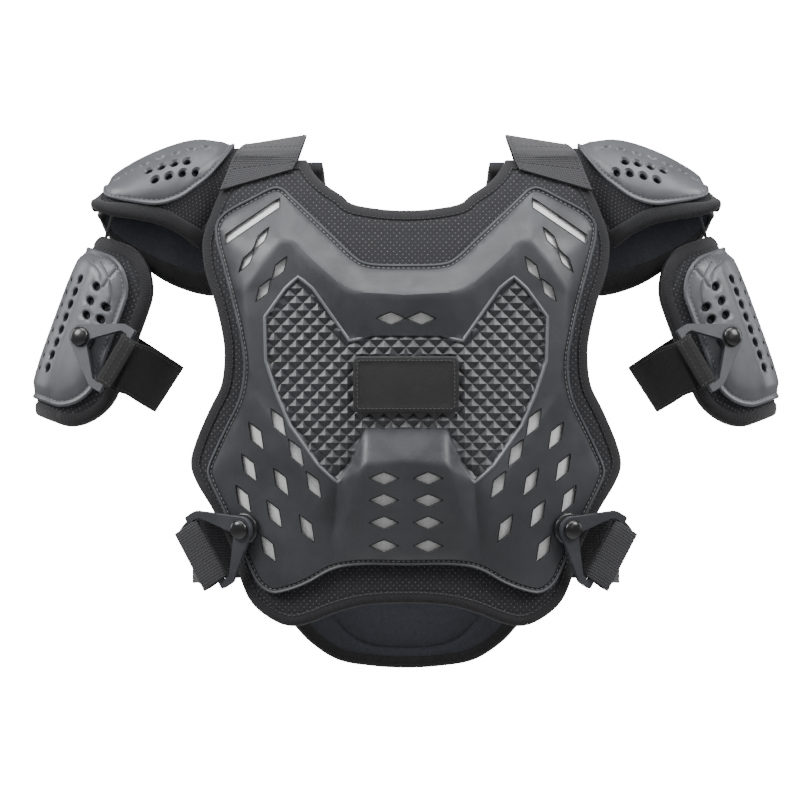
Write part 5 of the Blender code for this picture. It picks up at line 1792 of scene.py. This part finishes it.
def build_waist(name, side, surface):
    place = np.array((WAIST_STUD[0] * CHEST_HALF_WIDTH, -WAIST_STUD[1] * CHEST_HEIGHT))
    stand = seat(surface, place, WAIST_BOSS_RADIUS, -WAIST_BUCKLE_TURN)
    build_stud(f"waist_stud_domed_{name}", f"waist_stud_{name}", stand, WAIST_BOSS_RADIUS, side)
    build_buckle(f"waist_buckle_hook_{name}", f"waist_buckle_{name}", stand, STRAP_WIDTH, side)
    _, ahead, aside, _ = stand
    near = bar_loop(stand, WAIST_FREE_END)
    start = near[-1]
    end_place = np.array((WAIST_END[0] * CHEST_HALF_WIDTH, -WAIST_END[1] * CHEST_HEIGHT))
    rest = LAYER_GAP + STRAP_THICKNESS / 2
    round_back = [sunk(back_y, 1, end_place + (x, 0), -rest) for x in WAIST_ROUND_BACK]
    side_x = CHEST_HALF_WIDTH * 0.99
    middle_z = (start[2] + round_back[0][2]) / 2
    run = WAIST_SIDE_LENGTH / 2
    route = near + [start + ahead * WEBBING_LEAD]
    route += [np.array((side_x, -run, middle_z)), np.array((side_x, run, middle_z)), *round_back]
    centres = curve_through(route, 0.0035)
    across = []
    for i, centre in enumerate(centres):
        toward = unit(centres[min(i + 1, len(centres) - 1)] - centres[max(i - 1, 0)])
        share = min(max((centre[1] - start[1]) / (run / 2 - start[1]), 0), 1)
        lean = aside if aside[2] < 0 else -aside
        half = lean + (np.array((0, 0, -1.0)) - lean) * share
        half = half - toward * half.dot(toward)
        across.append(unit(half) * STRAP_WIDTH / 2)
    across = np.array(across)
    strap, up = add_webbing(f"waist_strap_woven_{name}", centres, across, STRAP_THICKNESS, [WEBBING], side)
    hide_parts(f"waist_strap_{name}")
    strap_stitches(f"waist_strap_stitches_{name}", centres, across, up, (2, 4, -4), side)


def build_arm_fastening(name, side):
    def shell(flat):
        return arm_offset(flat, LAYER_GAP + ARM_SHELL_THICKNESS)

    place = np.array((ARM_RADIUS * ARM_STUD_ANGLE, ARM_STUD_DOWN))
    stand = seat(shell, place, ARM_BOSS_RADIUS, ARM_BUCKLE_TURN)
    build_stud(f"arm_stud_domed_{name}", f"arm_stud_{name}", stand, ARM_BOSS_RADIUS, side)
    build_buckle(f"arm_buckle_hook_{name}", f"arm_buckle_{name}", stand, ARM_STRAP_WIDTH, side)
    _, ahead, aside, _ = stand
    near = bar_loop(stand, ARM_FREE_END)
    lean = math.tan(ARM_STRAP_LEAN)
    rest = LAYER_GAP + STRAP_THICKNESS / 2
    route = list(near)
    for degrees, share in ARM_STRAP_ROUTE:
        angle = math.radians(degrees)
        down = ARM_STRAP_DOWN - ARM_RADIUS * share * math.cos(angle) * lean
        route.append(arm_point(angle, down, ARM_RADIUS * share))
    for degrees in ARM_STRAP_BACK:
        angle = math.radians(degrees)
        down = ARM_STRAP_DOWN - ARM_RADIUS * math.cos(angle) * lean
        route.append(arm_point(angle, down, ARM_RADIUS + rest))
    centres = curve_through(route, 0.0035)
    wide = ARM_AXIS * math.cos(ARM_STRAP_LEAN) + ARM_OUT * math.sin(ARM_STRAP_LEAN)
    passed = int(np.argmin(np.linalg.norm(centres - near[-1], axis=1)))
    across = []
    for i, centre in enumerate(centres):
        toward = unit(centres[min(i + 1, len(centres) - 1)] - centres[max(i - 1, 0)])
        away = np.linalg.norm(centre - near[-1]) / ARM_STRAP_WIDTH
        share = min(2 * away, 1) if i > passed else 0
        start = aside if aside.dot(wide) > 0 else -aside
        half = start + (wide - start) * share
        half = half - toward * half.dot(toward)
        across.append(unit(half) * ARM_STRAP_WIDTH / 2)
    across = np.array(across)
    strap, up = add_webbing(f"arm_strap_woven_{name}", centres, across, STRAP_THICKNESS, [ELASTIC], side)
    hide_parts(f"arm_strap_{name}")
    strap_stitches(f"arm_strap_stitches_{name}", centres, across, up, (2, 4, -4), side)


def build_hanger(name, side):
    top = wing_offset(WING_FLAT * (0.95, 0), -WING_THICKNESS - LAYER_GAP - HANGER_THICKNESS / 2)
    low = arm_offset(np.array((0, -ARM_PAD_ABOVE)), -ARM_PAD_THICKNESS / 2) - ARM_AXIS * LAYER_GAP
    centres = np.array([top + (low - top) * k / 8 for k in range(9)])
    across = np.repeat(np.array([(0, HANGER_WIDTH / 2, 0)]), 9, axis=0)
    strap, _ = add_webbing(f"arm_hanger_woven_{name}", centres, across, HANGER_THICKNESS, [WEBBING], side)
    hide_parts(f"arm_hanger_{name}")


def chest_surface(flat):
    relief = Relief(PLATE_OUTLINE, CHEST_FACETS, CHEST_CREASES, CHEST_RELIEF)
    flat = np.atleast_2d(flat)
    top = PLATE_LIFT + PLATE_THICKNESS + relief.height(flat)
    return raised(chest_y, -1, flat, top)[0]


build_torso_pad("chest_pad_soft", "chest_pad", CHEST_PAD_OUTLINE, chest_y, -1)
build_chest()
build_back()
for name, side in (("right", -1), ("left", 1)):
    build_shoulder(name, side)
    build_shoulder_strap(name, side)
    build_arm_guard(name, side)
    build_arm_fastening(name, side)
    build_hanger(name, side)
    build_waist(name, side, chest_surface)


# Studio


def add_light(name, place, size, power):
    data = bpy.data.lights.new(name, "AREA")
    data.shape = "RECTANGLE"
    data.size, data.size_y = size
    data.energy = power
    made = bpy.data.objects.new(name, data)
    made.location = place
    made.rotation_euler = (Vector(LIGHTS_AIM) - Vector(place)).to_track_quat("-Z", "Y").to_euler()
    bpy.context.scene.collection.objects.link(made)


def build_studio():
    floor_mesh = bpy.data.meshes.new("floor")
    corners = [(x * FLOOR_HALF, y * FLOOR_HALF, FLOOR_LEVEL) for x, y in ((-1, -1), (1, -1), (1, 1), (-1, 1))]
    floor_mesh.from_pydata(corners, [], [(0, 1, 2, 3)])
    floor = bpy.data.objects.new("floor", floor_mesh)
    paint = base_material("pale_floor", (0.92, 0.92, 0.92), 0.8)
    floor_mesh.materials.append(paint[0])
    bpy.context.scene.collection.objects.link(floor)
    floor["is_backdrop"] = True
    world = bpy.data.worlds.new("studio")
    bpy.context.scene.world = world
    world.use_nodes = True
    nodes, links = world.node_tree.nodes, world.node_tree.links
    soft = nodes["Background"]
    soft.inputs["Color"].default_value = (1, 1, 1, 1)
    soft.inputs["Strength"].default_value = SOFT_STRENGTH
    white = nodes.new("ShaderNodeBackground")
    white.inputs["Strength"].default_value = WHITE_STRENGTH
    seen = nodes.new("ShaderNodeLightPath")
    mix = nodes.new("ShaderNodeMixShader")
    links.new(seen.outputs["Is Camera Ray"], mix.inputs["Fac"])
    links.new(soft.outputs["Background"], mix.inputs[1])
    links.new(white.outputs["Background"], mix.inputs[2])
    links.new(mix.outputs["Shader"], nodes["World Output"].inputs["Surface"])
    for name, place, size, power in LIGHTS:
        add_light(name, place, size, power)
    data = bpy.data.cameras.new("camera")
    data.sensor_width = SENSOR_WIDTH
    data.lens = SENSOR_WIDTH * CAMERA_DISTANCE / (PHOTO_SIDE * PIXEL)
    camera = bpy.data.objects.new("camera", data)
    across, down = seen_at(PHOTO_SIDE / 2, PHOTO_SIDE / 2)
    camera.location = (-across, -CAMERA_DISTANCE - CHEST_FRONT, down)
    camera.rotation_euler = (math.pi / 2, 0, 0)
    bpy.context.scene.collection.objects.link(camera)
    bpy.context.scene.camera = camera


build_studio()

boxes = {"cad": cad_box, "visual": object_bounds()}
{key: [[float(v) for v in corner] for corner in box] for key, box in boxes.items()}
